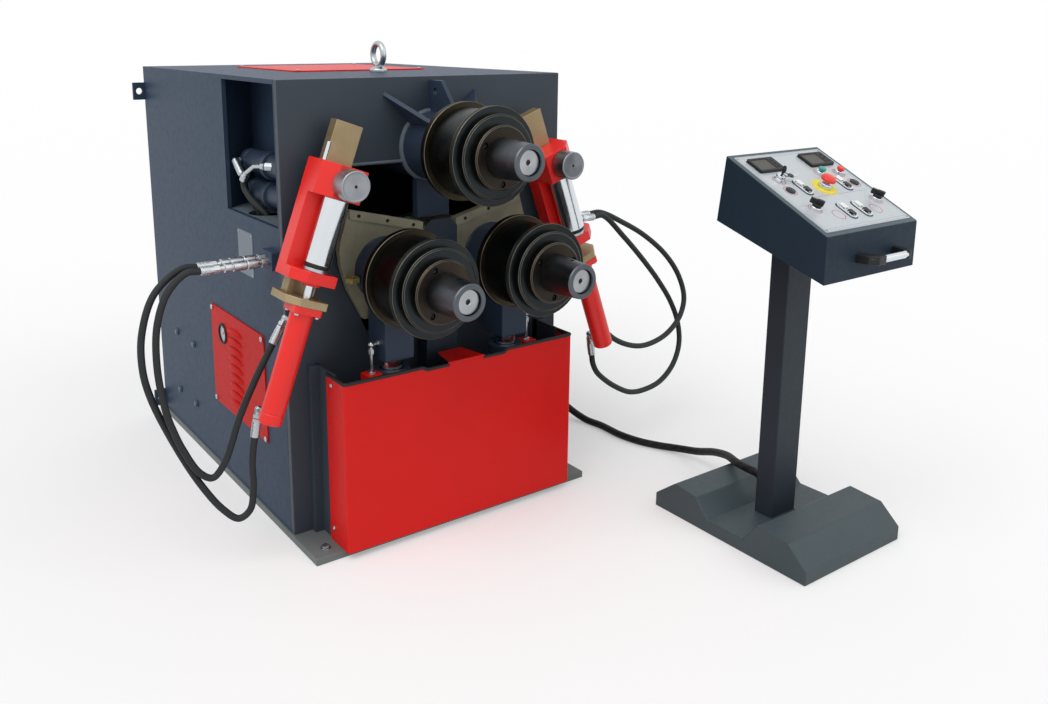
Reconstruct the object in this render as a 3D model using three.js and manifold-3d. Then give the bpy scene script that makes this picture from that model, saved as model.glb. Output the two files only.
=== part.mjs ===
import * as THREE from 'three';
import { mergeVertices } from 'three/addons/utils/BufferGeometryUtils.js';
import Module from 'manifold-3d';

// A hydraulic ring roller (section bending machine) with its stand-alone control console.
// Millimetres. X runs to the right along the machine's front, Y runs into the machine from the face of
// the front panel, and Z runs up from the floor. The origin is on the base plate's underside.

const wasm = await Module();
wasm.setup();

// Driving dimensions of the cabinet
const cabinetWidth = 900;
const cabinetDepth = 1140;
const cabinetHeight = 1250;
const baseThickness = 20;
const frontThickness = 20;
const wallThickness = 12;

// Driving dimensions of the rolls: places of the axes, then the turned shapes
const topRollDrop = 190;
const lowerRollDrop = 510;
const rollSpread = 350;
const pivotRise = 50;
const shaftDiameter = 80;
const housingLength = 300;
const rearDiscDiameter = 262;
const rearDiscWidth = 20;
const rollBodyDiameter = 232;
const rollBodyWidth = 113;
const frontFlangeDiameter = 255;
const frontFlangeWidth = 14;
const stepRingDiameter = 217;
const stepRingWidth = 18;
const hubDiscDiameter = 165;
const hubDiscWidth = 20;
const nutRootDiameter = 104;
const nutTipDiameter = 93;
const nutLength = 110;

// Driving dimensions of the side guides: the disc roller's axis, and the lean of the slide
const guideDrop = 250;
const guideOffset = 167;
const guideLeanDegrees = 20;

// Driving dimensions of the console
const consoleWidth = 376;
const consoleTopDepth = 319;
const consoleTopRise = 160;
const consoleFrontHeight = 118;
const consoleFloorDepth = 340;
const consoleFloorRise = 105;
const consoleCentreX = 718;
const consoleFrontY = -912;
const consoleFrontTop = 895;

// Clearances shared by every fit
const runningGap = 0.3;
const cutOverrun = 2;

// Facets of round work
const fineSides = 32;
const roundSides = 20;
const smallSides = 10;
const hoseSides = 8;

const degree = Math.PI / 180;
const half = 0.5;

// Levels and lines that several pieces share
const baseTop = baseThickness;
const sideX = cabinetWidth * half;
const topRollZ = cabinetHeight - topRollDrop;
const lowerRollZ = cabinetHeight - lowerRollDrop;
const rollX = rollSpread * half;
const pivotZ = lowerRollZ + pivotRise;
const shaftRadius = shaftDiameter * half;

const finishes = {
  cabinetSide: { color: '#4a5a6c', roughness: 0.55, metalness: 0.2 },
  cabinetFront: { color: '#3d4148', roughness: 0.55, metalness: 0.2 },
  base: { color: '#3d4650', roughness: 0.6, metalness: 0.2 },
  red: { color: '#d0211f', roughness: 0.4, metalness: 0.1 },
  gold: { color: '#a08a55', roughness: 0.4, metalness: 0.8 },
  rollSteel: { color: '#2c2f33', roughness: 0.45, metalness: 0.7 },
  chrome: { color: '#c8ccd0', roughness: 0.2, metalness: 0.9 },
  khaki: { color: '#6e6a50', roughness: 0.5, metalness: 0.6 },
  blueGrey: { color: '#3c4b5e', roughness: 0.5, metalness: 0.3 },
  hose: { color: '#1c1c1e', roughness: 0.7, metalness: 0 },
  panel: { color: '#d5d9dc', roughness: 0.4, metalness: 0.1 },
  blackPlastic: { color: '#17181a', roughness: 0.5, metalness: 0 },
  whitePlastic: { color: '#e8e8e4', roughness: 0.5, metalness: 0 },
  green: { color: '#1f9e6a', roughness: 0.4, metalness: 0 },
};

// Solids. Each helper gives a closed solid that can be joined and cut.

const weldTolerance = 1e-4;

function signedVolume(positions, triangles) {
  const a = new THREE.Vector3();
  const b = new THREE.Vector3();
  const c = new THREE.Vector3();
  let sum = 0;
  for (const [i, j, k] of triangles) {
    a.fromArray(positions, i * 3);
    b.fromArray(positions, j * 3);
    c.fromArray(positions, k * 3);
    sum += a.dot(b.cross(c));
  }
  return sum;
}

// Shared vertices are merged, slivers at a lathe's poles are left out and the faces are made to point out.
function solidOf(geometry) {
  const bare = new THREE.BufferGeometry();
  bare.setAttribute('position', geometry.getAttribute('position'));
  bare.setIndex(geometry.index);
  const shared = mergeVertices(bare, weldTolerance);
  const positions = shared.getAttribute('position').array;
  const index = shared.index.array;
  const triangles = [];
  for (let i = 0; i < index.length; i += 3) {
    const [a, b, c] = [index[i], index[i + 1], index[i + 2]];
    if (a !== b && b !== c && c !== a) {
      triangles.push([a, b, c]);
    }
  }
  if (signedVolume(positions, triangles) < 0) {
    triangles.forEach((triangle) => triangle.reverse());
  }
  return new wasm.Manifold(new wasm.Mesh({
    numProp: 3,
    vertProperties: new Float32Array(positions),
    triVerts: new Uint32Array(triangles.flat()),
  }));
}

function join(...solids) {
  return solids.reduce((whole, next) => whole.add(next));
}

function cut(solid, ...tools) {
  return tools.reduce((rest, tool) => rest.subtract(tool), solid);
}

function block(x, y, z) {
  const box = new THREE.BoxGeometry(x[1] - x[0], y[1] - y[0], z[1] - z[0]);
  box.translate((x[0] + x[1]) * half, (y[0] + y[1]) * half, (z[0] + z[1]) * half);
  return solidOf(box);
}

// A round bar, or a cone where the radius at its far end differs. The centre is given by its two other
// coordinates, in X, Y, Z order.
function bar(axis, span, centre, radius, sides = roundSides, farRadius = radius) {
  const rod = new THREE.CylinderGeometry(farRadius, radius, span[1] - span[0], sides);
  const middle = (span[0] + span[1]) * half;
  if (axis === 'x') {
    rod.rotateZ(-90 * degree);
    rod.translate(middle, centre[0], centre[1]);
  } else if (axis === 'y') {
    rod.translate(centre[0], middle, centre[1]);
  } else {
    rod.rotateX(90 * degree);
    rod.translate(centre[0], centre[1], middle);
  }
  return solidOf(rod);
}

// A turned shape about the Y axis: the profile is a closed list of [radius, y].
function turned(profile, sides) {
  const points = profile.map(([radius, y]) => new THREE.Vector2(radius, y));
  points.push(points[0].clone());
  return solidOf(new THREE.LatheGeometry(points, sides));
}

// A plate with an outline of [first, second] coordinates, as thick as its span along the third.
function plate(normal, span, outline) {
  const shape = new THREE.Shape(outline.map(([a, b]) => new THREE.Vector2(a, b)));
  const body = new THREE.ExtrudeGeometry(shape, { depth: span[1] - span[0], bevelEnabled: false });
  if (normal === 'y') {
    body.rotateX(90 * degree);
    body.translate(0, span[1], 0);
  } else if (normal === 'x') {
    const turn = new THREE.Matrix4().makeBasis(
      new THREE.Vector3(0, 1, 0),
      new THREE.Vector3(0, 0, 1),
      new THREE.Vector3(1, 0, 0),
    );
    body.applyMatrix4(turn);
    body.translate(span[0], 0, 0);
  } else {
    body.translate(0, 0, span[0]);
  }
  return solidOf(body);
}

// A straight round rod between two points.
function strut(from, to, radius, sides = smallSides) {
  const start = new THREE.Vector3(...from);
  const end = new THREE.Vector3(...to);
  const along = end.clone().sub(start);
  const rod = new THREE.CylinderGeometry(radius, radius, along.length(), sides);
  rod.applyQuaternion(new THREE.Quaternion().setFromUnitVectors(
    new THREE.Vector3(0, 1, 0),
    along.clone().normalize(),
  ));
  const middle = start.add(end).multiplyScalar(half);
  rod.translate(middle.x, middle.y, middle.z);
  return solidOf(rod);
}

// The radius of a faceted bore whose flats clear a turning pin all round
function boreFor(pinSize, sides = roundSides) {
  return (pinSize + runningGap) / Math.cos(180 * degree / sides);
}

function arc(centre, radius, fromDegrees, toDegrees, steps) {
  return Array.from({ length: steps + 1 }, (_, i) => {
    const angle = (fromDegrees + ((toDegrees - fromDegrees) * i) / steps) * degree;
    return [centre[0] + radius * Math.cos(angle), centre[1] + radius * Math.sin(angle)];
  });
}

// The named mesh of a solid. A mirrored piece is its left-hand fellow with X reversed.
function piece(name, solid, finish, mirrored = false) {
  const mesh = solid.getMesh();
  const positions = new Float32Array(mesh.vertProperties);
  const triangles = new Uint32Array(mesh.triVerts);
  if (mirrored) {
    for (let i = 0; i < positions.length; i += 3) {
      positions[i] = -positions[i];
    }
    for (let i = 0; i < triangles.length; i += 3) {
      [triangles[i], triangles[i + 1]] = [triangles[i + 1], triangles[i]];
    }
  }
  const geometry = new THREE.BufferGeometry();
  geometry.setAttribute('position', new THREE.BufferAttribute(positions, 3));
  geometry.setIndex(new THREE.BufferAttribute(triangles, 1));
  geometry.computeVertexNormals();
  const body = new THREE.Mesh(geometry, new THREE.MeshStandardMaterial(finish));
  body.name = name;
  return body;
}

// Base frame: the base plate with its corner feet and bolts, and the centre column that carries the pin on
// which both swing arms turn.
const baseSideReach = 5;
const baseFrontReach = 149;
const footBoltInset = 40;
const footBoltRadius = 15;
const footBoltHeight = 12;
const columnHalfWidth = 52;
const columnFrontReach = 50;
const columnPlateThickness = 9;
const columnPlateRise = 70;
const columnPlateCorner = 22;
const columnHeadDrop = 75;
const pinRadius = 25;
const knuckleRadius = 45;
const knuckleLength = 94;
const knuckleGap = 2;
const armRunGap = 1;
const rearCheekThickness = 20;

const armFront = -columnFrontReach + columnPlateThickness + armRunGap;
const leftKnuckle = [armFront, armFront + knuckleLength];
const rightKnuckle = [leftKnuckle[1] + knuckleGap, leftKnuckle[1] + knuckleGap + knuckleLength];
const rearCheek = [rightKnuckle[1] + knuckleGap, rightKnuckle[1] + knuckleGap + rearCheekThickness];
const openingSillDrop = 180;
const openingSill = lowerRollZ - openingSillDrop;

function baseFrame() {
  const wide = sideX + baseSideReach;
  const ground = block([-wide, wide], [-baseFrontReach, cabinetDepth], [0, baseTop]);
  const boltPlaces = [-1, 1].map((side) => [side * (sideX - footBoltInset), footBoltInset - baseFrontReach]);
  const bolts = boltPlaces.map((place) => bar('z', [0, baseTop + footBoltHeight], place, footBoltRadius, 6));
  const columnTop = pivotZ - columnHeadDrop;
  const acrossColumn = [-columnHalfWidth, columnHalfWidth];
  const foot = block(acrossColumn, [-columnFrontReach, 0], [0, columnTop]);
  const head = block(acrossColumn, [-columnFrontReach, rearCheek[1]], [openingSill, columnTop]);
  const facePlate = plate('y', [-columnFrontReach, -columnFrontReach + columnPlateThickness], [
    [-columnHalfWidth, baseTop],
    [columnHalfWidth, baseTop],
    [columnHalfWidth, pivotZ + columnPlateRise - columnPlateCorner],
    [columnHalfWidth - columnPlateCorner, pivotZ + columnPlateRise],
    [-columnHalfWidth + columnPlateCorner, pivotZ + columnPlateRise],
    [-columnHalfWidth, pivotZ + columnPlateRise - columnPlateCorner],
  ]);
  const cheek = block(acrossColumn, rearCheek, [openingSill, pivotZ + knuckleRadius]);
  const pin = bar('y', [-columnFrontReach, rearCheek[1]], [0, pivotZ], pinRadius);
  return join(ground, ...bolts, foot, head, facePlate, cheek, pin);
}

// Cabinet shell: side walls, rear wall and top, with the service recess in the left wall, the rear lugs
// and the gland of the control cable.
const windowFrontSetback = 5;
const windowLength = 360;
const recessDepth = 130;
const recessSplay = 100;
const shelfDrop = 380;
const shelfHoleRadius = 62;
const shelfHoleInset = 66;
const shelfHoleY = 230;
const lugReach = 40;
const lugThickness = 12;
const lugHeight = 58;
const upperLugDrop = 112;
const lowerLugBottom = 30;
const lugHoleRadius = 11;
const glandRadius = 17;
const glandLength = 30;
const cableGlandY = 350;
const cableGlandZ = 250;

function serviceRecess() {
  const wallInside = -sideX + wallThickness;
  const back = -sideX + recessDepth;
  const front = frontThickness;
  const windowRear = front + windowFrontSetback + windowLength;
  const rear = windowRear + recessSplay;
  const shelfZ = cabinetHeight - shelfDrop;
  const outline = [
    [wallInside - cutOverrun, front],
    [back, front],
    [back, rear],
    [back - wallThickness, rear],
    [wallInside - cutOverrun, windowRear],
  ];
  const shelfHole = bar(
    'z',
    [shelfZ - wallThickness - cutOverrun, shelfZ + cutOverrun],
    [back - shelfHoleInset, shelfHoleY],
    shelfHoleRadius,
  );
  const shelf = cut(plate('z', [shelfZ - wallThickness, shelfZ], outline), shelfHole);
  const backWall = block([back - wallThickness, back], [front, rear], [shelfZ, cabinetHeight]);
  const splayedWall = plate('z', [shelfZ, cabinetHeight], [
    [wallInside - cutOverrun, windowRear],
    [back - wallThickness, rear - wallThickness],
    [back, rear],
    [wallInside - cutOverrun, windowRear + wallThickness],
  ]);
  return join(shelf, backWall, splayedWall);
}

function cabinetShell() {
  const topUnder = cabinetHeight - wallThickness;
  const depth = [frontThickness, cabinetDepth];
  const walls = [-1, 1].map((side) => {
    const faces = [side * sideX, side * (sideX - wallThickness)].sort((a, b) => a - b);
    return block(faces, depth, [baseTop, cabinetHeight]);
  });
  const top = block([-sideX, sideX], depth, [topUnder, cabinetHeight]);
  const rear = block([-sideX, sideX], [cabinetDepth - wallThickness, cabinetDepth], [baseTop, cabinetHeight]);
  const window = block(
    [-sideX - cutOverrun, -sideX + wallThickness + cutOverrun],
    [frontThickness + windowFrontSetback, frontThickness + windowFrontSetback + windowLength],
    [cabinetHeight - shelfDrop, topUnder],
  );
  const lugs = [cabinetHeight - upperLugDrop, lowerLugBottom].map((bottom) => {
    const lug = block(
      [-sideX - lugReach, -sideX],
      [cabinetDepth - lugThickness, cabinetDepth],
      [bottom, bottom + lugHeight],
    );
    const hole = bar(
      'y',
      [cabinetDepth - lugThickness - cutOverrun, cabinetDepth + cutOverrun],
      [-sideX - lugReach * half, bottom + lugHeight * half],
      lugHoleRadius,
      smallSides,
    );
    return cut(lug, hole);
  });
  const gland = bar('x', [sideX, sideX + glandLength], [cableGlandY, cableGlandZ], glandRadius, smallSides);
  const hollowBox = cut(join(...walls, top, rear), window);
  return join(hollowBox, serviceRecess(), ...lugs, gland);
}

// Front panel: the faced plate with the opening for the swing arms, the welded quill of the top roll with
// its gussets and drive, the two posts of the cover, and the two valve barrels of the recess.
const openingSideReach = 125;
const openingTopDrop = 228;
const openingCorner = 55;
const openingShoulderDrop = 232;
const openingFootInset = 85;
const quillRadius = 95;
const quillReach = 150;
const quillWeld = 8;
const driveRadius = 62;
const driveLength = 110;
const gussetThickness = 12;
const gussetTopRise = 180;
const gussetShelf = 60;
const gussetReach = 128;
const gussetRootAngle = 10;
const gussetHoleRadius = 9;
const radialGussetAngles = [45, 135];
const radialGussetRise = 210;
const radialGussetNose = 14;
const coverInset = 75;
const coverSheet = 4;
const coverDrop = 250;
const coverFrontReach = 175;
const postWidth = 25;
const postDepth = 20;
const postLegReach = 110;
const postLegThickness = 6;
const postRise = 8;
const barrelRadius = 33;
const barrelInset = 80;
const upperBarrelDrop = 245;
const upperBarrelLength = 380;
const lowerBarrelDrop = 328;
const lowerBarrelLength = 345;

const coverTop = lowerRollZ - coverDrop;
const coverSide = sideX - coverInset;

function quillGusset() {
  const level = topRollZ + quillRadius * Math.cos(gussetRootAngle * degree) - radialGussetNose * half;
  const profile = [
    [0, level],
    [-gussetReach, level],
    [-gussetReach, level + radialGussetNose],
    [-gussetShelf, topRollZ + gussetTopRise],
    [0, topRollZ + gussetTopRise],
  ];
  const hole = bar(
    'x',
    [-gussetThickness, gussetThickness],
    [-gussetShelf * half, topRollZ + gussetTopRise - gussetShelf * half],
    gussetHoleRadius,
    smallSides,
  );
  return cut(plate('x', [-gussetThickness * half, gussetThickness * half], profile), hole);
}

function radialGusset(angle) {
  const inner = quillRadius - radialGussetNose * half;
  const wedge = plate('x', [-gussetThickness * half, gussetThickness * half], [
    [0, inner],
    [-gussetReach, inner],
    [-gussetReach, inner + radialGussetNose],
    [0, radialGussetRise],
  ]);
  return wedge.rotate([0, 90 - angle, 0]).translate([0, 0, topRollZ]);
}

function coverPost(side) {
  const outer = side * (coverSide + postWidth - coverSheet);
  const inner = side * (coverSide - coverSheet - runningGap);
  const leg = side * (coverSide - coverSheet - runningGap - postLegThickness);
  const rising = [baseTop, coverTop + postRise];
  const flat = block([outer, leg].sort((a, b) => a - b), [-postDepth, 0], rising);
  const standing = block([inner, leg].sort((a, b) => a - b), [-postLegReach, 0], rising);
  return join(flat, standing);
}

function frontPanel() {
  const openingSide = rollX + openingSideReach;
  const openingTop = cabinetHeight - openingTopDrop;
  const cornerX = openingSide - openingCorner;
  const cornerZ = openingTop - openingCorner;
  const shoulderZ = openingTop - openingShoulderDrop;
  const opening = plate('y', [-cutOverrun, frontThickness + cutOverrun], [
    [openingSide - openingFootInset, openingSill],
    [openingSide, shoulderZ],
    ...arc([cornerX, cornerZ], openingCorner, 0, 90, 5),
    ...arc([-cornerX, cornerZ], openingCorner, 90, 180, 5),
    [-openingSide, shoulderZ],
    [openingFootInset - openingSide, openingSill],
  ]);
  const sheet = block([-sideX, sideX], [0, frontThickness], [baseTop, cabinetHeight]);
  const quillRear = housingLength;
  const quill = bar('y', [-quillReach, quillRear], [0, topRollZ], quillRadius);
  const weld = bar('y', [-quillWeld, 0], [0, topRollZ], quillRadius, roundSides, quillRadius + quillWeld);
  const drive = bar('y', [quillRear, quillRear + driveLength], [0, topRollZ], driveRadius);
  const gussets = radialGussetAngles.map(radialGusset);
  const bore = bar('y', [-quillReach - cutOverrun, quillRear - cutOverrun], [0, topRollZ], boreFor(shaftRadius));
  const barrels = [
    [upperBarrelDrop, upperBarrelLength],
    [lowerBarrelDrop, lowerBarrelLength],
  ].map(([drop, length]) => {
    const place = [-sideX + barrelInset, cabinetHeight - drop];
    return bar('y', [0, frontThickness + length], place, barrelRadius, smallSides);
  });
  const welded = join(
    cut(sheet, opening),
    quill,
    weld,
    drive,
    quillGusset(),
    ...gussets,
    coverPost(-1),
    coverPost(1),
    ...barrels,
  );
  return cut(welded, bore);
}

// Top hatch, lifting eye, louvred side panel and front cover
const hatchHalfWidth = 225;
const hatchOffset = 15;
const hatchFront = 420;
const hatchLength = 480;
const hatchSheet = 4;
const eyePlace = [22, 335];
const eyeRingRadius = 32;
const eyeWireRadius = 9;
const eyeCollarRadius = 26;
const eyeCollarHeight = 10;
const louvrePanelFront = 153;
const louvrePanelLength = 417;
const louvrePanelBottom = 225;
const louvrePanelHeight = 306;
const louvrePanelSheet = 4;
const louvreCount = 8;
const louvreLength = 150;
const louvrePitch = 24;
const louvreRise = 10;
const louvreStartShare = 0.2;
const louvreCentreShare = 0.45;
const sightRadius = 27;
const sightYShare = 0.79;
const sightZShare = 0.735;
const coverFlangeRear = 21;
const flapHalfWidth = 57;
const flapBackHalfWidth = 40;
const flapDepth = 90;

function topHatch() {
  return block(
    [hatchOffset - hatchHalfWidth, hatchOffset + hatchHalfWidth],
    [hatchFront, hatchFront + hatchLength],
    [cabinetHeight, cabinetHeight + hatchSheet],
  );
}

function liftingEye() {
  const ringCentre = eyeCollarHeight + eyeWireRadius + eyeRingRadius;
  const ring = new THREE.TorusGeometry(eyeRingRadius, eyeWireRadius, hoseSides, smallSides);
  ring.rotateY(90 * degree);
  ring.translate(0, 0, ringCentre);
  const collarSpan = [0, eyeCollarHeight + eyeWireRadius];
  const collar = bar('z', collarSpan, [0, 0], eyeCollarRadius, smallSides, eyeWireRadius);
  return join(collar, solidOf(ring));
}

function louvrePanel() {
  const outside = -sideX - louvrePanelSheet;
  const rear = louvrePanelFront + louvrePanelLength;
  const top = louvrePanelBottom + louvrePanelHeight;
  const sheet = block([outside, -sideX], [louvrePanelFront, rear], [louvrePanelBottom, top]);
  const middle = louvrePanelFront + louvrePanelLength * louvreCentreShare;
  const blades = Array.from({ length: louvreCount }, (_, i) => {
    const bottom = louvrePanelBottom + louvrePanelHeight * louvreStartShare + i * louvrePitch;
    const blade = plate('y', [middle - louvreLength * half, middle + louvreLength * half], [
      [outside, bottom],
      [outside - louvreRise, bottom],
      [outside, bottom + louvrePitch * half],
    ]);
    return blade;
  });
  const sightPlace = [
    louvrePanelFront + louvrePanelLength * sightYShare,
    louvrePanelBottom + louvrePanelHeight * sightZShare,
  ];
  const sight = bar('x', [outside - louvreRise * half, -sideX], sightPlace, sightRadius);
  return join(sheet, ...blades, sight);
}

function frontCover() {
  const flanges = [-1, 1].map((side) => block(
    [side * coverSide, side * (coverSide - coverSheet)].sort((a, b) => a - b),
    [-coverFrontReach, -coverFlangeRear],
    [baseTop, coverTop],
  ));
  const face = block(
    [-coverSide, coverSide],
    [-coverFrontReach, -coverFrontReach + coverSheet],
    [baseTop, coverTop],
  );
  const back = -coverFrontReach + flapDepth;
  const waist = (flapHalfWidth + flapBackHalfWidth) * half - coverSheet;
  const flap = plate('z', [coverTop - coverSheet, coverTop], [
    [-flapHalfWidth, -coverFrontReach],
    [flapHalfWidth, -coverFrontReach],
    [flapHalfWidth, -coverFrontReach + coverSheet],
    [waist, -coverFrontReach + flapDepth * half],
    [flapBackHalfWidth, back],
    [-flapBackHalfWidth, back],
    [-waist, -coverFrontReach + flapDepth * half],
    [-flapHalfWidth, -coverFrontReach + coverSheet],
  ]);
  return join(face, ...flanges, flap);
}

// Hydraulic power unit: the tank that stands on the base plate and the motor on its lid
const tankFront = 520;
const tankLength = 420;
const tankWidth = 520;
const tankHeight = 300;
const motorRadius = 105;
const motorHeight = 320;

function powerUnit() {
  const middle = tankFront + tankLength * half;
  const tankTop = baseTop + tankHeight;
  const across = [-tankWidth * half, tankWidth * half];
  const tank = block(across, [tankFront, tankFront + tankLength], [baseTop, tankTop]);
  const motor = bar('z', [tankTop - cutOverrun, tankTop + motorHeight], [0, middle], motorRadius);
  return join(tank, motor);
}

// Rolls, about their own axis along Y: the shaft, the rear disc with the roll's body, the stepped front
// disc and the shaft nut
const rollStandoff = 155;
const shaftEndCover = 25;
const threadRadius = 32.5;
const threadRecess = 18;
const centreHoleRadius = 6;
const centreHoleDepth = 12;
const nutHoleRadius = 6;
const nutHoleShare = 0.4;
const nutSlotWidth = 12;
const nutSlotDepth = 8;
const discBevel = 3;

const rearDiscFront = -rollStandoff - rearDiscWidth;
const rollBodyFront = rearDiscFront - rollBodyWidth;
const frontFlangeFront = rollBodyFront - frontFlangeWidth;
const stepRingFront = frontFlangeFront - stepRingWidth;
const hubDiscFront = stepRingFront - hubDiscWidth;
const nutTip = hubDiscFront - nutLength;

function rollShaft() {
  const shoulder = hubDiscFront;
  const end = nutTip + threadRecess;
  const shaft = join(
    bar('y', [shoulder, housingLength - shaftEndCover], [0, 0], shaftRadius),
    bar('y', [end, shoulder], [0, 0], threadRadius),
  );
  const centreHole = bar('y', [end - cutOverrun, end + centreHoleDepth], [0, 0], centreHoleRadius, hoseSides);
  return cut(shaft, centreHole);
}

function rearDisc() {
  const bore = shaftRadius + runningGap;
  const rim = rearDiscDiameter * half;
  const body = rollBodyDiameter * half;
  return turned([
    [bore, rollBodyFront],
    [body, rollBodyFront],
    [body, rearDiscFront],
    [rim, rearDiscFront],
    [rim, -rollStandoff],
    [bore, -rollStandoff],
  ], fineSides);
}

function frontDisc() {
  const bore = shaftRadius + runningGap;
  const flange = frontFlangeDiameter * half;
  const step = stepRingDiameter * half;
  const hub = hubDiscDiameter * half;
  return turned([
    [bore, hubDiscFront],
    [hub, hubDiscFront],
    [hub, stepRingFront],
    [step, stepRingFront],
    [step, frontFlangeFront],
    [flange, frontFlangeFront],
    [flange, rollBodyFront],
    [bore, rollBodyFront],
  ], fineSides);
}

function shaftNut() {
  const root = nutRootDiameter * half;
  const tip = nutTipDiameter * half;
  const bore = threadRadius + runningGap;
  const body = turned([
    [bore, nutTip],
    [tip - discBevel, nutTip],
    [tip, nutTip + discBevel],
    [root, hubDiscFront - runningGap],
    [bore, hubDiscFront - runningGap],
  ], roundSides);
  const hole = bar('z', [0, root + cutOverrun], [0, nutTip + nutLength * nutHoleShare], nutHoleRadius, hoseSides);
  const slot = block(
    [-root - cutOverrun, 0],
    [nutTip - cutOverrun, nutTip + nutSlotDepth],
    [-nutSlotWidth * half, nutSlotWidth * half],
  );
  return cut(body, hole, slot);
}

function roll(name, x, z) {
  const group = new THREE.Group();
  group.position.set(x, 0, z);
  group.add(
    piece(`${name}_shaft`, rollShaft(), finishes.chrome),
    piece(`${name}_rear_disc`, rearDisc(), finishes.rollSteel),
    piece(`${name}_front_disc`, frontDisc(), finishes.rollSteel),
    piece(`${name}_shaft_nut`, shaftNut(), finishes.rollSteel),
  );
  return group;
}

// Swing arms, about the pin: the front plate with its clamp bar, the boss round the shaft, the bearing
// housing and drive behind it, and the knuckle on the pin. The arm reaches to the left.
const armReach = 147;
const armOutlineShares = [
  [-0.7, 1.17], [-0.81, 0.8], [-0.875, 0.6], [-0.9, 0.4], [-0.875, 0.16], [-0.82, -0.05], [-0.73, -0.33],
  [-0.44, -0.9], [0, -0.9], [0.374, -0.61],
];
const armInnerTop = 66;
const armInnerFoot = 90;
const armSideGap = 2;
const armBarThickness = 6;
const armBarHeight = 25;
const armPlateThickness = 20;
const bossRadius = 85;
const bossDiscGap = 3.3;
const housingRadius = 75;
const armMotorRadius = 55;
const armMotorLength = 100;
const webHalfWidth = 38;
const nutPadRadius = 22;
const nutPadHeight = 13;
const nutPadY = -48;
const nutPadShare = [-0.7, -0.14];

function swingArm(knuckle) {
  const axis = [-rollX, -pivotRise];
  const plateFront = armFront + armBarThickness;
  const plateRear = plateFront + armPlateThickness;
  const innerEdge = -columnHalfWidth - armSideGap;
  const outer = armOutlineShares.map(([x, z]) => [axis[0] + x * armReach, axis[1] + z * armReach]);
  const inner = [[innerEdge, -armInnerFoot], [innerEdge, armInnerTop]];
  const face = plate('y', [plateFront, plateRear], [...outer, ...inner]);
  const topBar = plate('y', [armFront, plateFront], [
    outer[0],
    inner[1],
    [inner[1][0], inner[1][1] - armBarHeight],
    [outer[0][0], outer[0][1] - armBarHeight],
  ]);
  const boss = bar('y', [-rollStandoff + bossDiscGap, plateFront], axis, bossRadius, fineSides);
  const housing = bar('y', [plateFront, housingLength], axis, housingRadius);
  const motor = bar('y', [housingLength, housingLength + armMotorLength], axis, armMotorRadius);
  const span = Math.hypot(...axis);
  const webSide = [(axis[1] / span) * webHalfWidth, (-axis[0] / span) * webHalfWidth];
  const web = plate('y', knuckle, [
    [webSide[0], webSide[1]],
    [axis[0] + webSide[0], axis[1] + webSide[1]],
    [axis[0] - webSide[0], axis[1] - webSide[1]],
    [-webSide[0], -webSide[1]],
  ]);
  const hub = bar('y', knuckle, [0, 0], knuckleRadius);
  const padPlace = [axis[0] + nutPadShare[0] * armReach, axis[1] + nutPadShare[1] * armReach];
  const pad = bar('z', [padPlace[1], padPlace[1] + nutPadHeight], [padPlace[0], nutPadY], nutPadRadius, 6);
  const shaftBore = bar(
    'y',
    [-rollStandoff - cutOverrun, housingLength - cutOverrun],
    axis,
    boreFor(shaftRadius),
  );
  const pinBore = bar('y', [knuckle[0] - cutOverrun, knuckle[1] + cutOverrun], [0, 0], boreFor(pinRadius));
  return cut(join(face, topBar, boss, housing, motor, web, hub, pad), shaftBore, pinBore);
}

// Lift cylinders under the swing arms, with the position sensor beside each: the head's flat top bears on
// the round boss above it.
const bossSeatGap = 0.5;
const headOffset = 15;
const headWidth = 88;
const headHeight = 144;
const headFront = -140;
const headDepth = 95;
const liftRodRadius = 30;
const liftRodShow = 30;
const liftRodLength = 210;
const liftBarrelRadius = 50;
const liftBoreLength = 320;
const sensorOffset = 83;
const sensorY = -105;
const sensorWidth = 45;
const sensorHeight = 180;
const sensorRodRadius = 5;
const sensorStudDrop = 96;
const sensorRodLength = 190;
const sensorBoreLength = 150;
const sensorBallRadius = 9;

const headX = -rollX - headOffset;
const headTop = lowerRollZ - bossRadius - bossSeatGap;
const headBottom = headTop - headHeight;
const liftBarrelTop = headBottom - liftRodShow;
const headMiddleY = headFront + headDepth * half;
const sensorX = -rollX - sensorOffset;

function liftHead() {
  const stock = block(
    [headX - headWidth * half, headX + headWidth * half],
    [headFront, headFront + headDepth],
    [headBottom, headTop],
  );
  const rod = bar('z', [headBottom - liftRodLength, headBottom], [headX, headMiddleY], liftRodRadius);
  const studZ = headTop - sensorStudDrop;
  const stud = bar('x', [sensorX, headX], [sensorY, studZ], sensorRodRadius, hoseSides);
  const place = [sensorX, sensorY];
  const ballSpan = [studZ - sensorBallRadius, studZ + sensorBallRadius];
  const ball = bar('z', ballSpan, place, sensorBallRadius, hoseSides);
  const sensorRod = bar('z', [studZ - sensorRodLength, studZ], place, sensorRodRadius, hoseSides);
  return join(stock, rod, stud, ball, sensorRod);
}

function liftCylinder() {
  const barrel = bar('z', [baseTop, liftBarrelTop], [headX, headMiddleY], liftBarrelRadius);
  const sensor = block(
    [sensorX - sensorWidth * half, sensorX + sensorWidth * half],
    [sensorY - sensorWidth * half, sensorY + sensorWidth * half],
    [liftBarrelTop - sensorHeight, liftBarrelTop],
  );
  const above = liftBarrelTop + cutOverrun;
  const bore = bar(
    'z',
    [liftBarrelTop - liftBoreLength, above],
    [headX, headMiddleY],
    boreFor(liftRodRadius),
  );
  const sensorBore = bar(
    'z',
    [liftBarrelTop - sensorBoreLength, above],
    [sensorX, sensorY],
    boreFor(sensorRodRadius, hoseSides),
    hoseSides,
  );
  return cut(join(barrel, sensor), bore, sensorBore);
}

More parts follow.
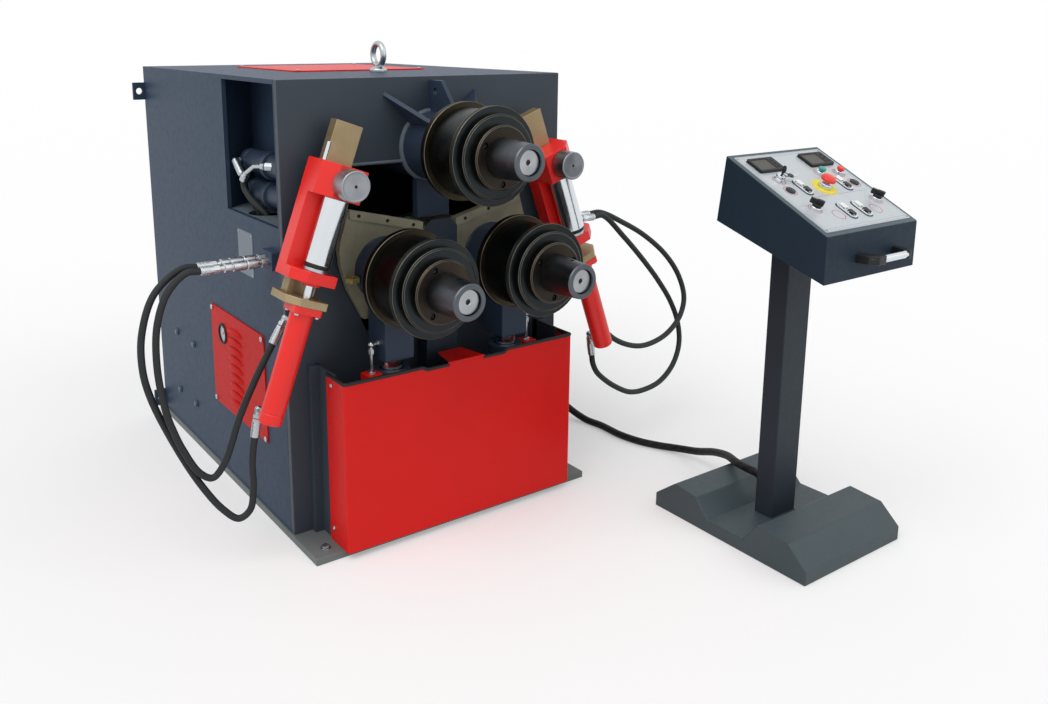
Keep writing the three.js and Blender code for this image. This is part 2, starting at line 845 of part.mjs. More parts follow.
// Side guides, about the disc roller's axis and leaning with the slide: X runs across towards the
// machine's middle, Y as in the machine and Z along the slide. The slide bar stands off the front panel.
const slideBack = 40;
const slideThickness = 35;
const slideInner = 43;
const slideOuter = 35;
const slideTop = 151;
const slideFoot = 319;
const footThickness = 20;
const footOuter = 58;
const footInner = 46;
const padHalfWidth = 28;
const padHeight = 40;
const padTops = [-40, -180];
const guideFront = 156;
const guideChamferY = 120;
const guideChamferX = 28;
const carriageOuter = 64;
const carriageInner = 51;
const carriageWebThickness = 14;
const topBlock = [-42, 43];
const bottomBlock = [-259, -230];
const keyPinRadius = 5.5;
const keyPinHeight = 47;
const keyPinInset = 14;
const keyPinY = -100;
const rollerRadius = 33;
const rollerY = -125;
const rollerPinRadius = 10;
const collarRadius = 30;
const collarHeight = 19;
const sealGroove = 5;
const discRollerRadius = 39.5;
const discRollerWidth = 50;
const studRadius = 12;
const studLength = 40;
const discBoreDepth = 44;
const ramX = 2;
const ramY = -118;
const pistonRadius = 11;
const pistonLength = 216;
const barrelFlangeHalf = 38;
const barrelFlangeThickness = 18;
const guideBarrelRadius = 30;
const guideBarrelLength = 288;
const guideBoreLength = 264;
const elbowTops = [31, 274];
const elbowStandoff = 50;
const elbowRadius = 8;
const ferruleRadius = 10;
const ferruleLength = 72;
const ferruleLeans = [-14, 12];
const elbowX = -4;

const slideFace = -slideBack - slideThickness;

function slideFrame() {
  const slide = block([-slideOuter, slideInner], [slideFace, -slideBack], [-slideFoot, slideTop]);
  const foot = plate('z', [-slideFoot, -slideFoot + footThickness], [
    [-footOuter, -slideBack],
    [-footOuter, -guideChamferY],
    [-guideChamferX, -guideFront],
    [footInner, -guideFront],
    [footInner, -slideBack],
  ]);
  const pads = padTops.map((top) => block(
    [-padHalfWidth, padHalfWidth],
    [-slideBack, 0],
    [top - padHeight, top],
  ));
  const rodHole = bar(
    'z',
    [-slideFoot - cutOverrun, -slideFoot + footThickness + cutOverrun],
    [ramX, ramY],
    boreFor(pistonRadius, smallSides),
    smallSides,
  );
  return cut(join(slide, foot, ...pads), rodHole);
}

function guideCylinder() {
  const top = -slideFoot - runningGap;
  const flange = block(
    [ramX - barrelFlangeHalf, ramX + barrelFlangeHalf],
    [ramY - barrelFlangeHalf, ramY + barrelFlangeHalf],
    [top - barrelFlangeThickness, top],
  );
  const under = top - barrelFlangeThickness;
  const barrel = bar('z', [under - guideBarrelLength, under], [ramX, ramY], guideBarrelRadius);
  const pistonBore = boreFor(pistonRadius, smallSides);
  const bore = bar('z', [under - guideBoreLength, top + cutOverrun], [ramX, ramY], pistonBore, smallSides);
  const ports = elbowTops.map((drop, i) => {
    const port = [elbowX, -elbowStandoff, under - drop];
    const end = [elbowX + ferruleLeans[i], -elbowStandoff, under - drop - ferruleLength];
    return join(
      strut([ramX, ramY, port[2]], port, elbowRadius, hoseSides),
      bar('z', [port[2] - elbowRadius, port[2] + elbowRadius], [port[0], port[1]], elbowRadius, hoseSides),
      strut(port, end, ferruleRadius, smallSides),
    );
  });
  return cut(join(flange, barrel, ...ports), bore);
}

// The carriage is a channel round the slide, with a head and a foot block that carry the long roller
function carriage(withKeyPin) {
  const back = -slideBack - runningGap;
  const webBack = slideFace - runningGap;
  const webFront = webBack - carriageWebThickness;
  const grooveOuter = -slideOuter - runningGap;
  const grooveInner = slideInner + runningGap;
  const channel = plate('z', [bottomBlock[0], topBlock[1]], [
    [-carriageOuter, back],
    [-carriageOuter, webFront],
    [carriageInner, webFront],
    [carriageInner, back],
    [grooveInner, back],
    [grooveInner, webBack],
    [grooveOuter, webBack],
    [grooveOuter, back],
  ]);
  const blocks = [topBlock, bottomBlock].map((span) => plate('z', span, [
    [-carriageOuter, webBack],
    [-carriageOuter, -guideChamferY],
    [-guideChamferX, -guideFront],
    [carriageInner, -guideFront],
    [carriageInner, webBack],
  ]));
  const keyPin = bar(
    'z',
    [topBlock[1] - cutOverrun, topBlock[1] + keyPinHeight],
    [-carriageOuter + keyPinInset, keyPinY],
    keyPinRadius,
    hoseSides,
  );
  const rollerPin = bar('z', [bottomBlock[1], topBlock[0]], [0, rollerY], rollerPinRadius, smallSides);
  const stud = bar('y', [-guideFront - studLength, -guideFront], [0, 0], studRadius, smallSides);
  const piston = bar('z', [bottomBlock[0] - pistonLength, bottomBlock[0]], [ramX, ramY], pistonRadius, smallSides);
  return join(channel, ...blocks, ...(withKeyPin ? [keyPin] : []), rollerPin, stud, piston);
}

function longRoller() {
  const bottom = bottomBlock[1] + runningGap;
  const top = topBlock[0] - runningGap;
  const body = join(
    bar('z', [bottom + collarHeight, top], [0, rollerY], rollerRadius),
    bar('z', [bottom + collarHeight - sealGroove, bottom + collarHeight], [0, rollerY], rollerPinRadius + sealGroove),
    bar('z', [bottom, bottom + collarHeight - sealGroove], [0, rollerY], collarRadius),
  );
  const pinBore = boreFor(rollerPinRadius, smallSides);
  const bore = bar('z', [bottom - cutOverrun, top + cutOverrun], [0, rollerY], pinBore, smallSides);
  return cut(body, bore);
}

function discRoller() {
  const back = -guideFront - runningGap;
  const body = turned([
    [0, back - discRollerWidth],
    [discRollerRadius - discBevel, back - discRollerWidth],
    [discRollerRadius, back - discRollerWidth + discBevel],
    [discRollerRadius, back],
    [0, back],
  ], fineSides);
  const studBore = boreFor(studRadius, smallSides);
  const bore = bar('y', [back - discBoreDepth, back + cutOverrun], [0, 0], studBore, smallSides);
  return cut(body, bore);
}

function sideGuide(name, mirrored) {
  const side = mirrored ? 1 : -1;
  const group = new THREE.Group();
  group.position.set(side * (rollX + guideOffset), 0, cabinetHeight - guideDrop);
  group.rotation.y = -side * guideLeanDegrees * degree;
  group.add(
    piece(`${name}_slide_frame`, slideFrame(), finishes.gold, mirrored),
    piece(`${name}_cylinder`, guideCylinder(), finishes.red, mirrored),
    piece(`${name}_carriage`, carriage(!mirrored), finishes.red, mirrored),
    piece(`${name}_roller`, longRoller(), finishes.chrome, mirrored),
    piece(`${name}_disc_roller`, discRoller(), finishes.chrome, mirrored),
  );
  return group;
}

// Hose couplers on the side walls: a block with two quick couplings
const couplerBlock = 20;
const couplerPlaces = [[50, 781], [75, 787]];
const couplerBlockMargin = 22;
const couplerLength = 200;
const couplerRadius = 10;
const couplerSleeveRadius = 12.5;
const couplerSleeveShare = [0.12, 0.6];

function couplers() {
  const [lower, upper] = couplerPlaces;
  const mount = block(
    [-sideX - couplerBlock, -sideX],
    [lower[0] - couplerBlockMargin, upper[0] + couplerBlockMargin],
    [lower[1] - couplerBlockMargin, upper[1] + couplerBlockMargin],
  );
  const pipes = couplerPlaces.map((place) => {
    const pipe = bar('x', [-sideX - couplerLength, -sideX], place, couplerRadius, smallSides);
    const [from, to] = couplerSleeveShare;
    const sleeve = bar(
      'x',
      [-sideX - couplerLength * to, -sideX - couplerLength * from],
      place,
      couplerSleeveRadius,
      smallSides,
    );
    return join(pipe, sleeve);
  });
  return join(mount, ...pipes);
}

// Hoses and the control cable. Each route is a list of points in millimetres, chosen by hand.
const hoseRadius = 9;
const cableRadius = 12;
const hoseSteps = 22;
const cableSteps = 19;

const leftUpperHoseRoute = [
  [-650.3, 50, 781], [-685, 50, 781], [-735, 47, 738], [-766, 42, 663], [-776, 32, 558], [-766, 18, 445],
  [-753, 11, 393], [-735, 3, 342], [-700, -7, 275], [-669, -11, 255], [-641, -17, 286], [-597, -33, 414],
  [-553, -46, 515], [-525.1, -50, 566.4], [-509.6, -50, 592.1],
];
const leftLowerHoseRoute = [
  [-650.3, 75, 787], [-690, 75, 787], [-760, 70, 735], [-799, 60, 643], [-807, 49, 559], [-795, 45, 485],
  [-753, 31, 364], [-696, 9, 238], [-648, -14, 162], [-612, -27, 132], [-584, -33, 150], [-575, -40, 210],
  [-577, -47, 285], [-573.7, -50, 325.4], [-568.3, -50, 354.9],
];
const rightLowerHoseRoute = [
  [650.3, 50, 781], [690, 50, 781], [784, 48, 700], [881, 47, 604], [965, 52, 515], [1025, 50, 433],
  [1054, 40, 356], [1045, 20, 285], [998, 0, 222], [917, -18, 180], [830, -26, 169], [760, -32, 179],
  [692, -37, 213], [628, -43, 258], [592, -48, 292], [573.7, -50, 325.4], [568.3, -50, 354.9],
];
const rightUpperHoseRoute = [
  [650.3, 75, 787], [700, 75, 787], [806, 73, 740], [897, 66, 688], [987, 52, 613], [1043, 37, 533],
  [1065, 22, 454], [1035, 9, 398], [976, -3, 354], [899, -15, 332], [800, -27, 333], [685, -38, 378],
  [595, -47, 455], [545, -50, 533], [525.1, -50, 566.4], [509.6, -50, 592.1],
];
const controlCableRoute = [
  [480.3, 350, 250], [515, 350, 250], [585, 345, 222], [650, 310, 150], [712, 255, 55], [745, 180, 14],
  [757, 100, 12], [757, 4, 12], [773, -73, 12], [801, -137, 13], [828, -205, 20], [830, -280, 38],
  [808, -370, 75], [772, -455, 104], [735, -520, 118], [718, -575, 125], [718, -609.7, 125],
];

function tube(route, radius, steps) {
  const curve = new THREE.CatmullRomCurve3(route.map((point) => new THREE.Vector3(...point)));
  const section = new THREE.Shape(arc([0, 0], radius, 0, 360, hoseSides)
    .slice(1)
    .map(([a, b]) => new THREE.Vector2(a, b)));
  return solidOf(new THREE.ExtrudeGeometry(section, { steps, extrudePath: curve, bevelEnabled: false }));
}

// Console pedestal: the humped base and the post, whose top follows the console's sloping floor
const pedestalHalfWidth = 204;
const pedestalRear = -411;
const pedestalOutline = [
  [0, 0], [0, 40], [-72, 96], [-154, 88], [-203, 37],
  [-324, 39], [-369, 97], [-468, 91], [-527, 40], [-527, 0],
];
const postHalfWidth = 50;
const postBack = -648;
const postThickness = 60;
const postFootDepth = 10;
const postGlandZ = 125;
const postGlandLength = 38;

function floorHeight(y) {
  const slope = consoleFloorRise / consoleFloorDepth;
  return consoleFrontTop - consoleFrontHeight + (y - consoleFrontY) * slope;
}

function pedestal() {
  const base = plate(
    'x',
    [consoleCentreX - pedestalHalfWidth, consoleCentreX + pedestalHalfWidth],
    pedestalOutline.map(([y, z]) => [pedestalRear + y, z]),
  );
  const postFront = postBack - postThickness;
  const post = plate('x', [consoleCentreX - postHalfWidth, consoleCentreX + postHalfWidth], [
    [postFront, postFootDepth],
    [postBack, postFootDepth],
    [postBack, floorHeight(postBack) - runningGap],
    [postFront, floorHeight(postFront) - runningGap],
  ]);
  const glandSpan = [postBack, postBack + postGlandLength];
  const gland = bar('y', glandSpan, [consoleCentreX, postGlandZ], glandRadius, smallSides);
  return join(base, post, gland);
}

// Console box: folded sheet with a sloping open top, and the pull handle on its front
const consoleSheet = 3;
const consoleRim = 14;
const handleWidth = 150;
const handleReach = 42;
const handleDrop = 66;
const handleRadius = 9;
const handleOffset = 20;

const topSlope = Math.atan2(consoleTopRise, consoleTopDepth);
const topLength = Math.hypot(consoleTopRise, consoleTopDepth);

function consoleOutline(inset) {
  const front = consoleFrontY + inset;
  const rear = consoleFrontY + consoleTopDepth - inset;
  const rearFoot = consoleFrontY + consoleFloorDepth - inset;
  const lift = inset / Math.cos(topSlope);
  const slopeAt = (y) => consoleFrontTop + (y - consoleFrontY) * Math.tan(topSlope);
  return [
    [front, floorHeight(front) + lift],
    [rearFoot, floorHeight(rearFoot) + lift],
    [rear, slopeAt(rear) - lift],
    [front, slopeAt(front) - lift],
  ];
}

function consoleBox() {
  const halfWidth = consoleWidth * half;
  const spread = (inset) => [-halfWidth + inset, halfWidth - inset].map((x) => consoleCentreX + x);
  const outer = plate('x', spread(0), consoleOutline(0));
  const hollow = plate('x', spread(consoleSheet), consoleOutline(consoleSheet));
  const mouth = block(
    [-halfWidth + consoleRim, halfWidth - consoleRim],
    [consoleRim, topLength - consoleRim],
    [-consoleSheet * 2, consoleSheet],
  );
  const placedMouth = mouth
    .rotate([topSlope / degree, 0, 0])
    .translate([consoleCentreX, consoleFrontY, consoleFrontTop]);
  const barZ = consoleFrontTop - handleDrop;
  const handleX = consoleCentreX + handleOffset;
  const ends = [-handleWidth * half, handleWidth * half].map((x) => handleX + x);
  const out = consoleFrontY - handleReach;
  const rails = [
    bar('x', ends, [out, barZ], handleRadius, smallSides),
    ...ends.map((x) => bar('y', [out, consoleFrontY + consoleSheet], [x, barZ], handleRadius, smallSides)),
  ];
  return join(cut(outer, hollow, placedMouth), ...rails);
}

// Control panel and its controls, on the sloping top: X across from the middle, Y up the slope and Z off it
const panelMargin = 12;
const panelThickness = 3;
const displayShare = [0.55, 0.82];
const displayWidth = 97;
const displayHeight = 57;
const displayRise = 8;
const stemRadius = 5;
const stemLength = 14;
const collarRise = 9;
const stopPlaceShare = [0.045, 0.5];
const stopCollarRadius = 17;
const stopCollarRise = 14;
const stopCapRadius = 20;
const stopCapHeight = 14;
const stopTravelGap = 7;
const stopRingRadius = 32;
const stopRingRise = 1.5;
const keyPlaceShare = [-0.63, 0.642];
const keyRadius = 14;
const keyLength = 26;
const keyTurn = 60;
const keyWidth = 20;
const keyThickness = 3;
const selectorPlaceShares = [[-0.63, 0.285], [0.72, 0.285]];
const selectorRadius = 14;
const selectorHeight = 8;
const leverLength = 40;
const selectorTurn = 40;
const leverWidth = 9;
const leverHeight = 14;
const greenPlaceShare = [0.31, 0.66];
const redPlaceShare = [0.69, 0.64];
const buttonCollarRadius = 14;
const buttonRadius = 10;
const buttonTravelGap = 3.5;
const buttonCapHeight = 6;
const lampPlaceShares = [[-0.66, 0.51], [0.745, 0.505]];
const lampRadius = 13;
const lampRise = 4;
const twinPlaceShares = [[-0.37, 0.525], [0.49, 0.515], [-0.11, 0.215], [0.21, 0.21]];
const twinHalfWidth = 13;
const twinHalfLength = 31;
const twinRise = 5;
const twinPitch = 28;
const pusherHalfSize = 9;
const pusherCapHeight = 4.5;

const panelFace = runningGap + panelThickness;

function panelPlace([acrossShare, upShare]) {
  return [acrossShare * consoleWidth * half, upShare * topLength];
}

function lozenge(place, halfWidth, halfLength) {
  const bend = halfWidth * half;
  return [
    [place[0] - halfWidth, place[1] - halfLength + bend],
    [place[0] - halfWidth + bend, place[1] - halfLength],
    [place[0] + halfWidth - bend, place[1] - halfLength],
    [place[0] + halfWidth, place[1] - halfLength + bend],
    [place[0] + halfWidth, place[1] + halfLength - bend],
    [place[0] + halfWidth - bend, place[1] + halfLength],
    [place[0] - halfWidth + bend, place[1] + halfLength],
    [place[0] - halfWidth, place[1] + halfLength - bend],
  ];
}

function pusherPlaces() {
  return twinPlaceShares.map(panelPlace).flatMap(([x, y]) => [
    [x, y + twinPitch * half],
    [x, y - twinPitch * half],
  ]);
}

function controlPanel() {
  const across = consoleWidth * half - panelMargin;
  const sheet = block([-across, across], [panelMargin, topLength - panelMargin], [runningGap, panelFace]);
  const displays = [-1, 1].map((side) => {
    const [x, y] = panelPlace([side * displayShare[0], displayShare[1]]);
    return block(
      [x - displayWidth * half, x + displayWidth * half],
      [y - displayHeight * half, y + displayHeight * half],
      [runningGap, panelFace + displayRise],
    );
  });
  const stopPlace = panelPlace(stopPlaceShare);
  const stopRing = bar('z', [runningGap, panelFace + stopRingRise], stopPlace, stopRingRadius);
  const stopCollar = bar('z', [runningGap, panelFace + stopCollarRise], stopPlace, stopCollarRadius, smallSides);
  const collars = [
    [keyPlaceShare, keyRadius],
    ...selectorPlaceShares.map((share) => [share, selectorRadius]),
    [greenPlaceShare, buttonCollarRadius],
    [redPlaceShare, buttonCollarRadius],
  ].map(([share, radius]) => bar('z', [runningGap, panelFace + collarRise], panelPlace(share), radius, smallSides));
  const lamps = lampPlaceShares.map((share) => (
    bar('z', [runningGap, panelFace + lampRise], panelPlace(share), lampRadius, smallSides)
  ));
  const twins = twinPlaceShares.map((share) => (
    plate('z', [runningGap, panelFace + twinRise], lozenge(panelPlace(share), twinHalfWidth, twinHalfLength))
  ));
  const roundHoles = [stopPlaceShare, keyPlaceShare, ...selectorPlaceShares, greenPlaceShare, redPlaceShare];
  const holes = [...roundHoles.map(panelPlace), ...pusherPlaces()].map((place) => bar(
    'z',
    [-cutOverrun, panelFace + stopCollarRise + cutOverrun],
    place,
    boreFor(stemRadius, hoseSides),
    hoseSides,
  ));
  return cut(join(sheet, ...displays, stopRing, stopCollar, ...collars, ...lamps, ...twins), ...holes);
}

// A control's moving part: a stem down through the panel, and the cap's own solid above it
function withStem(capBottom, cap) {
  return join(cap, bar('z', [panelFace - stemLength, capBottom + cutOverrun], [0, 0], stemRadius, hoseSides));
}

function emergencyStop() {
  const bottom = panelFace + stopCollarRise + stopTravelGap;
  const shoulder = bottom + stopCapHeight * half;
  const cap = join(
    bar('z', [bottom, shoulder], [0, 0], stopCapRadius),
    bar('z', [shoulder, bottom + stopCapHeight], [0, 0], stopCapRadius, roundSides, stopCollarRadius),
  );
  return withStem(bottom, cap);
}

function keySwitch() {
  const bottom = panelFace + collarRise + runningGap;
  const barrel = bar('z', [bottom, bottom + selectorHeight], [0, 0], keyRadius - cutOverrun, smallSides);
  const bow = block(
    [-keyWidth * half, keyWidth * half],
    [-keyThickness * half, keyThickness * half],
    [bottom + selectorHeight * half, bottom + selectorHeight + keyLength],
  );
  return withStem(bottom, join(barrel, bow));
}

function selector() {
  const bottom = panelFace + collarRise + runningGap;
  const disc = bar('z', [bottom, bottom + selectorHeight], [0, 0], selectorRadius - cutOverrun, smallSides);
  const lever = block(
    [-leverWidth * half, leverWidth * half],
    [-leverLength * half, leverLength * half],
    [bottom + selectorHeight * half, bottom + selectorHeight + leverHeight],
  );
  return withStem(bottom, join(disc, lever));
}

function roundButton() {
  const bottom = panelFace + collarRise + buttonTravelGap;
  const cap = bar('z', [bottom, bottom + buttonCapHeight], [0, 0], buttonRadius, smallSides);
  return withStem(bottom, cap);
}

function pusher() {
  const bottom = panelFace + twinRise + buttonTravelGap;
  const size = [-pusherHalfSize, pusherHalfSize];
  return withStem(bottom, block(size, size, [bottom, bottom + pusherCapHeight]));
}

function placed(mesh, [x, y], turn = 0) {
  mesh.position.set(x, y, 0);
  mesh.rotation.z = turn;
  return mesh;
}

function consoleControls() {
  const group = new THREE.Group();
  group.position.set(consoleCentreX, consoleFrontY, consoleFrontTop);
  group.rotation.x = topSlope;
  group.add(
    piece('control_panel', controlPanel(), finishes.panel),
    placed(piece('emergency_stop', emergencyStop(), finishes.red), panelPlace(stopPlaceShare)),
    placed(piece('key_switch', keySwitch(), finishes.chrome), panelPlace(keyPlaceShare), keyTurn * degree),
    placed(piece('green_button', roundButton(), finishes.green), panelPlace(greenPlaceShare)),
    placed(piece('red_button', roundButton(), finishes.red), panelPlace(redPlaceShare)),
  );
  ['left', 'right'].forEach((side, i) => {
    const knob = piece(`${side}_selector`, selector(), finishes.blackPlastic);
    group.add(placed(knob, panelPlace(selectorPlaceShares[i]), selectorTurn * degree));
  });
  pusherPlaces().forEach((place, i) => {
    const pair = Math.floor(i / 2) + 1;
    const upper = i % 2 === 0;
    const finish = upper ? finishes.whitePlastic : finishes.blackPlastic;
    group.add(placed(piece(`pusher_${pair}_${upper ? 'upper' : 'lower'}`, pusher(), finish), place));
  });
  return group;
}

const ringRoller = new THREE.Group();

ringRoller.add(
  piece('base_frame', baseFrame(), finishes.base),
  piece('cabinet_shell', cabinetShell(), finishes.cabinetSide),
  piece('front_panel', frontPanel(), finishes.cabinetFront),
  piece('top_hatch', topHatch(), finishes.red),
  piece('louvre_panel', louvrePanel(), finishes.red),
  piece('front_cover', frontCover(), finishes.red),
  piece('power_unit', powerUnit(), finishes.blueGrey),
);

const eye = piece('lifting_eye', liftingEye(), finishes.chrome);
eye.position.set(...eyePlace, cabinetHeight);
ringRoller.add(eye);

ringRoller.add(roll('top', 0, topRollZ), roll('left', -rollX, lowerRollZ), roll('right', rollX, lowerRollZ));

const arms = new THREE.Group();
arms.position.z = pivotZ;
arms.add(
  piece('left_swing_arm', swingArm(leftKnuckle), finishes.khaki),
  piece('right_swing_arm', swingArm(rightKnuckle), finishes.khaki, true),
);
ringRoller.add(arms);

for (const [side, mirrored] of [['left', false], ['right', true]]) {
  ringRoller.add(
    piece(`${side}_lift_head`, liftHead(), finishes.blueGrey, mirrored),
    piece(`${side}_lift_cylinder`, liftCylinder(), finishes.blueGrey, mirrored),
    sideGuide(`${side}_guide`, mirrored),
    piece(`${side}_couplers`, couplers(), finishes.chrome, mirrored),
  );
}

ringRoller.add(
  piece('left_upper_hose', tube(leftUpperHoseRoute, hoseRadius, hoseSteps), finishes.hose),
  piece('left_lower_hose', tube(leftLowerHoseRoute, hoseRadius, hoseSteps), finishes.hose),
  piece('right_upper_hose', tube(rightUpperHoseRoute, hoseRadius, hoseSteps), finishes.hose),
  piece('right_lower_hose', tube(rightLowerHoseRoute, hoseRadius, hoseSteps), finishes.hose),
  piece('control_cable', tube(controlCableRoute, cableRadius, cableSteps), finishes.hose),
  piece('console_pedestal', pedestal(), finishes.base),
  piece('console_box', consoleBox(), finishes.base),
  consoleControls(),
);

export default ringRoller;
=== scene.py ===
# %% [markdown]
# # A ring roller and its control console
#
# A ring roller bends bar, tube and section steel between three powered rolls. The upper roll turns in a
# quill that is welded to the cabinet. The two lower rolls swing up on arms about one pin, each pushed
# by a hydraulic cylinder. A leaning guide at either side keeps the bent ring upright.
#
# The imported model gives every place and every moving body. This script adds the look: detailed pieces
# with rounded edges and procedural finishes, the hoses and the cable, the light and the camera.

# %% The frame, and the tools that every cell uses
import math

import bmesh
import bpy
from mathutils import Matrix, Vector


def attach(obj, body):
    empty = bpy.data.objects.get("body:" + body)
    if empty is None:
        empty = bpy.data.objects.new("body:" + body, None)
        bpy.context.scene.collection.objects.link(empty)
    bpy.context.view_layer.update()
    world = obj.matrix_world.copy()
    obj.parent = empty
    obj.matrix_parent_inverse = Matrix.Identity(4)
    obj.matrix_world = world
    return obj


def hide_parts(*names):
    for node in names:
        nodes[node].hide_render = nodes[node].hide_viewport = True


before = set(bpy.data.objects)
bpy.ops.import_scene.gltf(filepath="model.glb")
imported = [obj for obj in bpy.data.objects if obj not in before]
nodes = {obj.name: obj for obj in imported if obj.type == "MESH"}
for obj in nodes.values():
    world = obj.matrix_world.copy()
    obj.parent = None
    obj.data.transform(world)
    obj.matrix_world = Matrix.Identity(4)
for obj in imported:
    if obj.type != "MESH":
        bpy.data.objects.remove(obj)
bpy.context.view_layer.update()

MM = 0.001

# %% [markdown]
# ## The camera
#
# The photograph is a three-quarter view from the left, a little above the console's height. Its camera
# was worked out from the cabinet's straight edges, and the few numbers below are that result: how far
# the picture's optical centre lies from its middle, the lens, the place and the heading. The shift is
# small, because the photograph was trimmed a little after it was taken.

# %% Camera
photo_width = 1048
photo_height = 704
optical_centre = (488.2, 237.1)
focal_pixels = 957.3
camera_place = (-1400.6, -2256.1, 1363.1)
camera_heading = math.radians(35.25)
camera_dip = math.radians(11.986)
camera_tilt = math.radians(0.229)


def camera_axes():
    """Right, up and backward directions of the camera."""
    forward = Vector((
        math.sin(camera_heading) * math.cos(camera_dip),
        math.cos(camera_heading) * math.cos(camera_dip),
        -math.sin(camera_dip),
    ))
    level = Vector((math.cos(camera_heading), -math.sin(camera_heading), 0))
    upright = level.cross(forward)
    right = level * math.cos(camera_tilt) + upright * math.sin(camera_tilt)
    up = upright * math.cos(camera_tilt) - level * math.sin(camera_tilt)
    return right, up, -forward


camera_data = bpy.data.cameras.new("camera")
camera_data.lens = focal_pixels / photo_width * camera_data.sensor_width
camera_data.shift_x = (photo_width / 2 - optical_centre[0]) / photo_width
camera_data.shift_y = (optical_centre[1] - photo_height / 2) / photo_width
camera = bpy.data.objects.new("camera", camera_data)
bpy.context.scene.collection.objects.link(camera)
camera.matrix_world = Matrix.Translation(Vector(camera_place) * MM) @ (
    Matrix(camera_axes()).transposed().to_4x4()
)
bpy.context.scene.camera = camera
print("lens", round(camera_data.lens, 1), "shift", camera_data.shift_x, camera_data.shift_y)

# %% [markdown]
# ## Finishes: the helpers
#
# A hex colour is written as a picture shows it, so it has to be turned into linear light first. Every
# node is added by one function, which sets its fields, its unlinked inputs and its links. A node given
# as an input stands for its first output in use. A material starts from a Principled shader, and its
# pattern reads Object coordinates, so a grain of a millimetre stays a millimetre on every piece.

# %% Colour and node helpers
def linear(code):
    """Linear RGBA of an sRGB hex colour."""
    parts = [int(code[i:i + 2], 16) / 255 for i in (1, 3, 5)]
    return [c / 12.92 if c <= 0.04045 else ((c + 0.055) / 1.055) ** 2.4 for c in parts] + [1]


def feed(tree, node, inputs):
    """Sets a node's inputs to values, or links them to sockets or to other nodes."""
    for key, value in inputs.items():
        if isinstance(value, bpy.types.Node):
            value = next(output for output in value.outputs if output.enabled)
        if isinstance(value, bpy.types.NodeSocket):
            tree.links.new(value, node.inputs[key])
        else:
            node.inputs[key].default_value = value


def add_node(tree, kind, inputs=None, **fields):
    """Adds a node with its fields and its inputs."""
    node = tree.nodes.new(kind)
    for name, value in fields.items():
        setattr(node, name, value)
    feed(tree, node, inputs or {})
    return node


def start_material(name):
    """A new material, its tree, its shader and its Object coordinates."""
    material = bpy.data.materials.new(name)
    material.use_nodes = True
    tree = material.node_tree
    shader = tree.nodes["Principled BSDF"]
    place = add_node(tree, "ShaderNodeTexCoord").outputs["Object"]
    return material, tree, shader, place


# %% [markdown]
# ## Enamel
#
# The cabinet, the red covers and the console are sprayed with enamel or powder coat. Up close, such a
# coat has a fine orange peel of one or two millimetres, and its tone drifts by a few per cent over a
# hand's width. A powder coat with texture has a coarser, stronger grain and less gloss. The tone drift
# and the faint scuffs come from two noises, and the peel from a third through Bump. Sheen is how much
# the coat mirrors, which is little on a dull one.

# %% Enamel
coat_scuff = 0.12


def enamel(name, colour, shade, rough=0.45, peel=1.6, depth=0.06, sheen=0.25):
    """A sprayed coat. Peel is its grain in mm, depth the grain's height in mm."""
    material, tree, shader, place = start_material(name)
    drift = add_node(tree, "ShaderNodeTexNoise", {"Vector": place, "Scale": 6, "Detail": 4})
    tone = add_node(
        tree, "ShaderNodeMix", {0: drift, 6: linear(colour), 7: linear(shade)}, data_type="RGBA"
    )
    marks = add_node(
        tree, "ShaderNodeTexNoise", {"Vector": place, "Scale": 55, "Detail": 8, "Roughness": 0.7}
    )
    wear = add_node(tree, "ShaderNodeMapRange", {
        "Value": marks, "From Min": 0.45, "From Max": 0.75,
        "To Min": rough, "To Max": rough + coat_scuff,
    })
    grain = add_node(
        tree, "ShaderNodeTexNoise", {"Vector": place, "Scale": 1 / (peel * MM), "Detail": 2}
    )
    bump = add_node(tree, "ShaderNodeBump", {"Height": grain, "Distance": depth * MM, "Strength": 0.8})
    feed(tree, shader, {
        "Specular IOR Level": sheen, "Base Color": tone, "Roughness": wear, "Normal": bump,
    })
    return material


side_enamel = enamel("slate_blue_enamel", "#35445a", "#314053", sheen=0.12)
front_enamel = enamel("charcoal_enamel", "#3d4650", "#373f49", rough=0.42)
worn_enamel = enamel("worn_grey_base_enamel", "#747a79", "#636a6a", rough=0.5)
base_enamel = enamel("dark_slate_enamel", "#2e3945", "#28323d", rough=0.5)
blue_grey_enamel = enamel("blue_grey_enamel", "#2f3c50", "#2a3646", rough=0.4)
red_coat = enamel("red_powder_coat", "#dc1c17", "#d41915", rough=0.38, peel=2.2, depth=0.05, sheen=0.2)
# The louvred panel's red is a darker copy of the red coat with less sheen: the darker tone is painted
# shade against the key light on that side.
panel_shaded_red = enamel("red_panel_painted_shade_coat", "#c51a16", "#bb1713", rough=0.42, peel=2.2, depth=0.05, sheen=0.08)
# The guides' red is a brighter copy of the red coat: its glossier finish is real, its lighter base
# colour a painted highlight.
gloss_highlight_red = enamel(
    "red_gloss_highlight_enamel", "#ee2822", "#e6231e", rough=0.3, peel=2.2, depth=0.04, sheen=0.45
)
weld_grey = enamel("painted_weld_bead", "#69757d", "#56616a", rough=0.4, peel=5, depth=0.5)
console_coat = enamel(
    "navy_textured_coat", "#1d2d3c", "#192734", rough=0.55, peel=1.2, depth=0.16, sheen=0.2
)
foot_coat = enamel(
    "worn_grey_textured_coat", "#414d52", "#364247", rough=0.46, peel=1.2, depth=0.16, sheen=0.35
)
# The console rim's grey, lighter than the box's navy, is a painted reflection of the light above.
rim_reflection_coat = enamel("grey_rim_painted_reflection_coat", "#56646a", "#4c595f", rough=0.5, peel=1.2, depth=0.1)
post_coat = enamel("black_blue_textured_coat", "#29333c", "#232c34", rough=0.5, peel=1.2, depth=0.16)
print("enamels", len(bpy.data.materials))

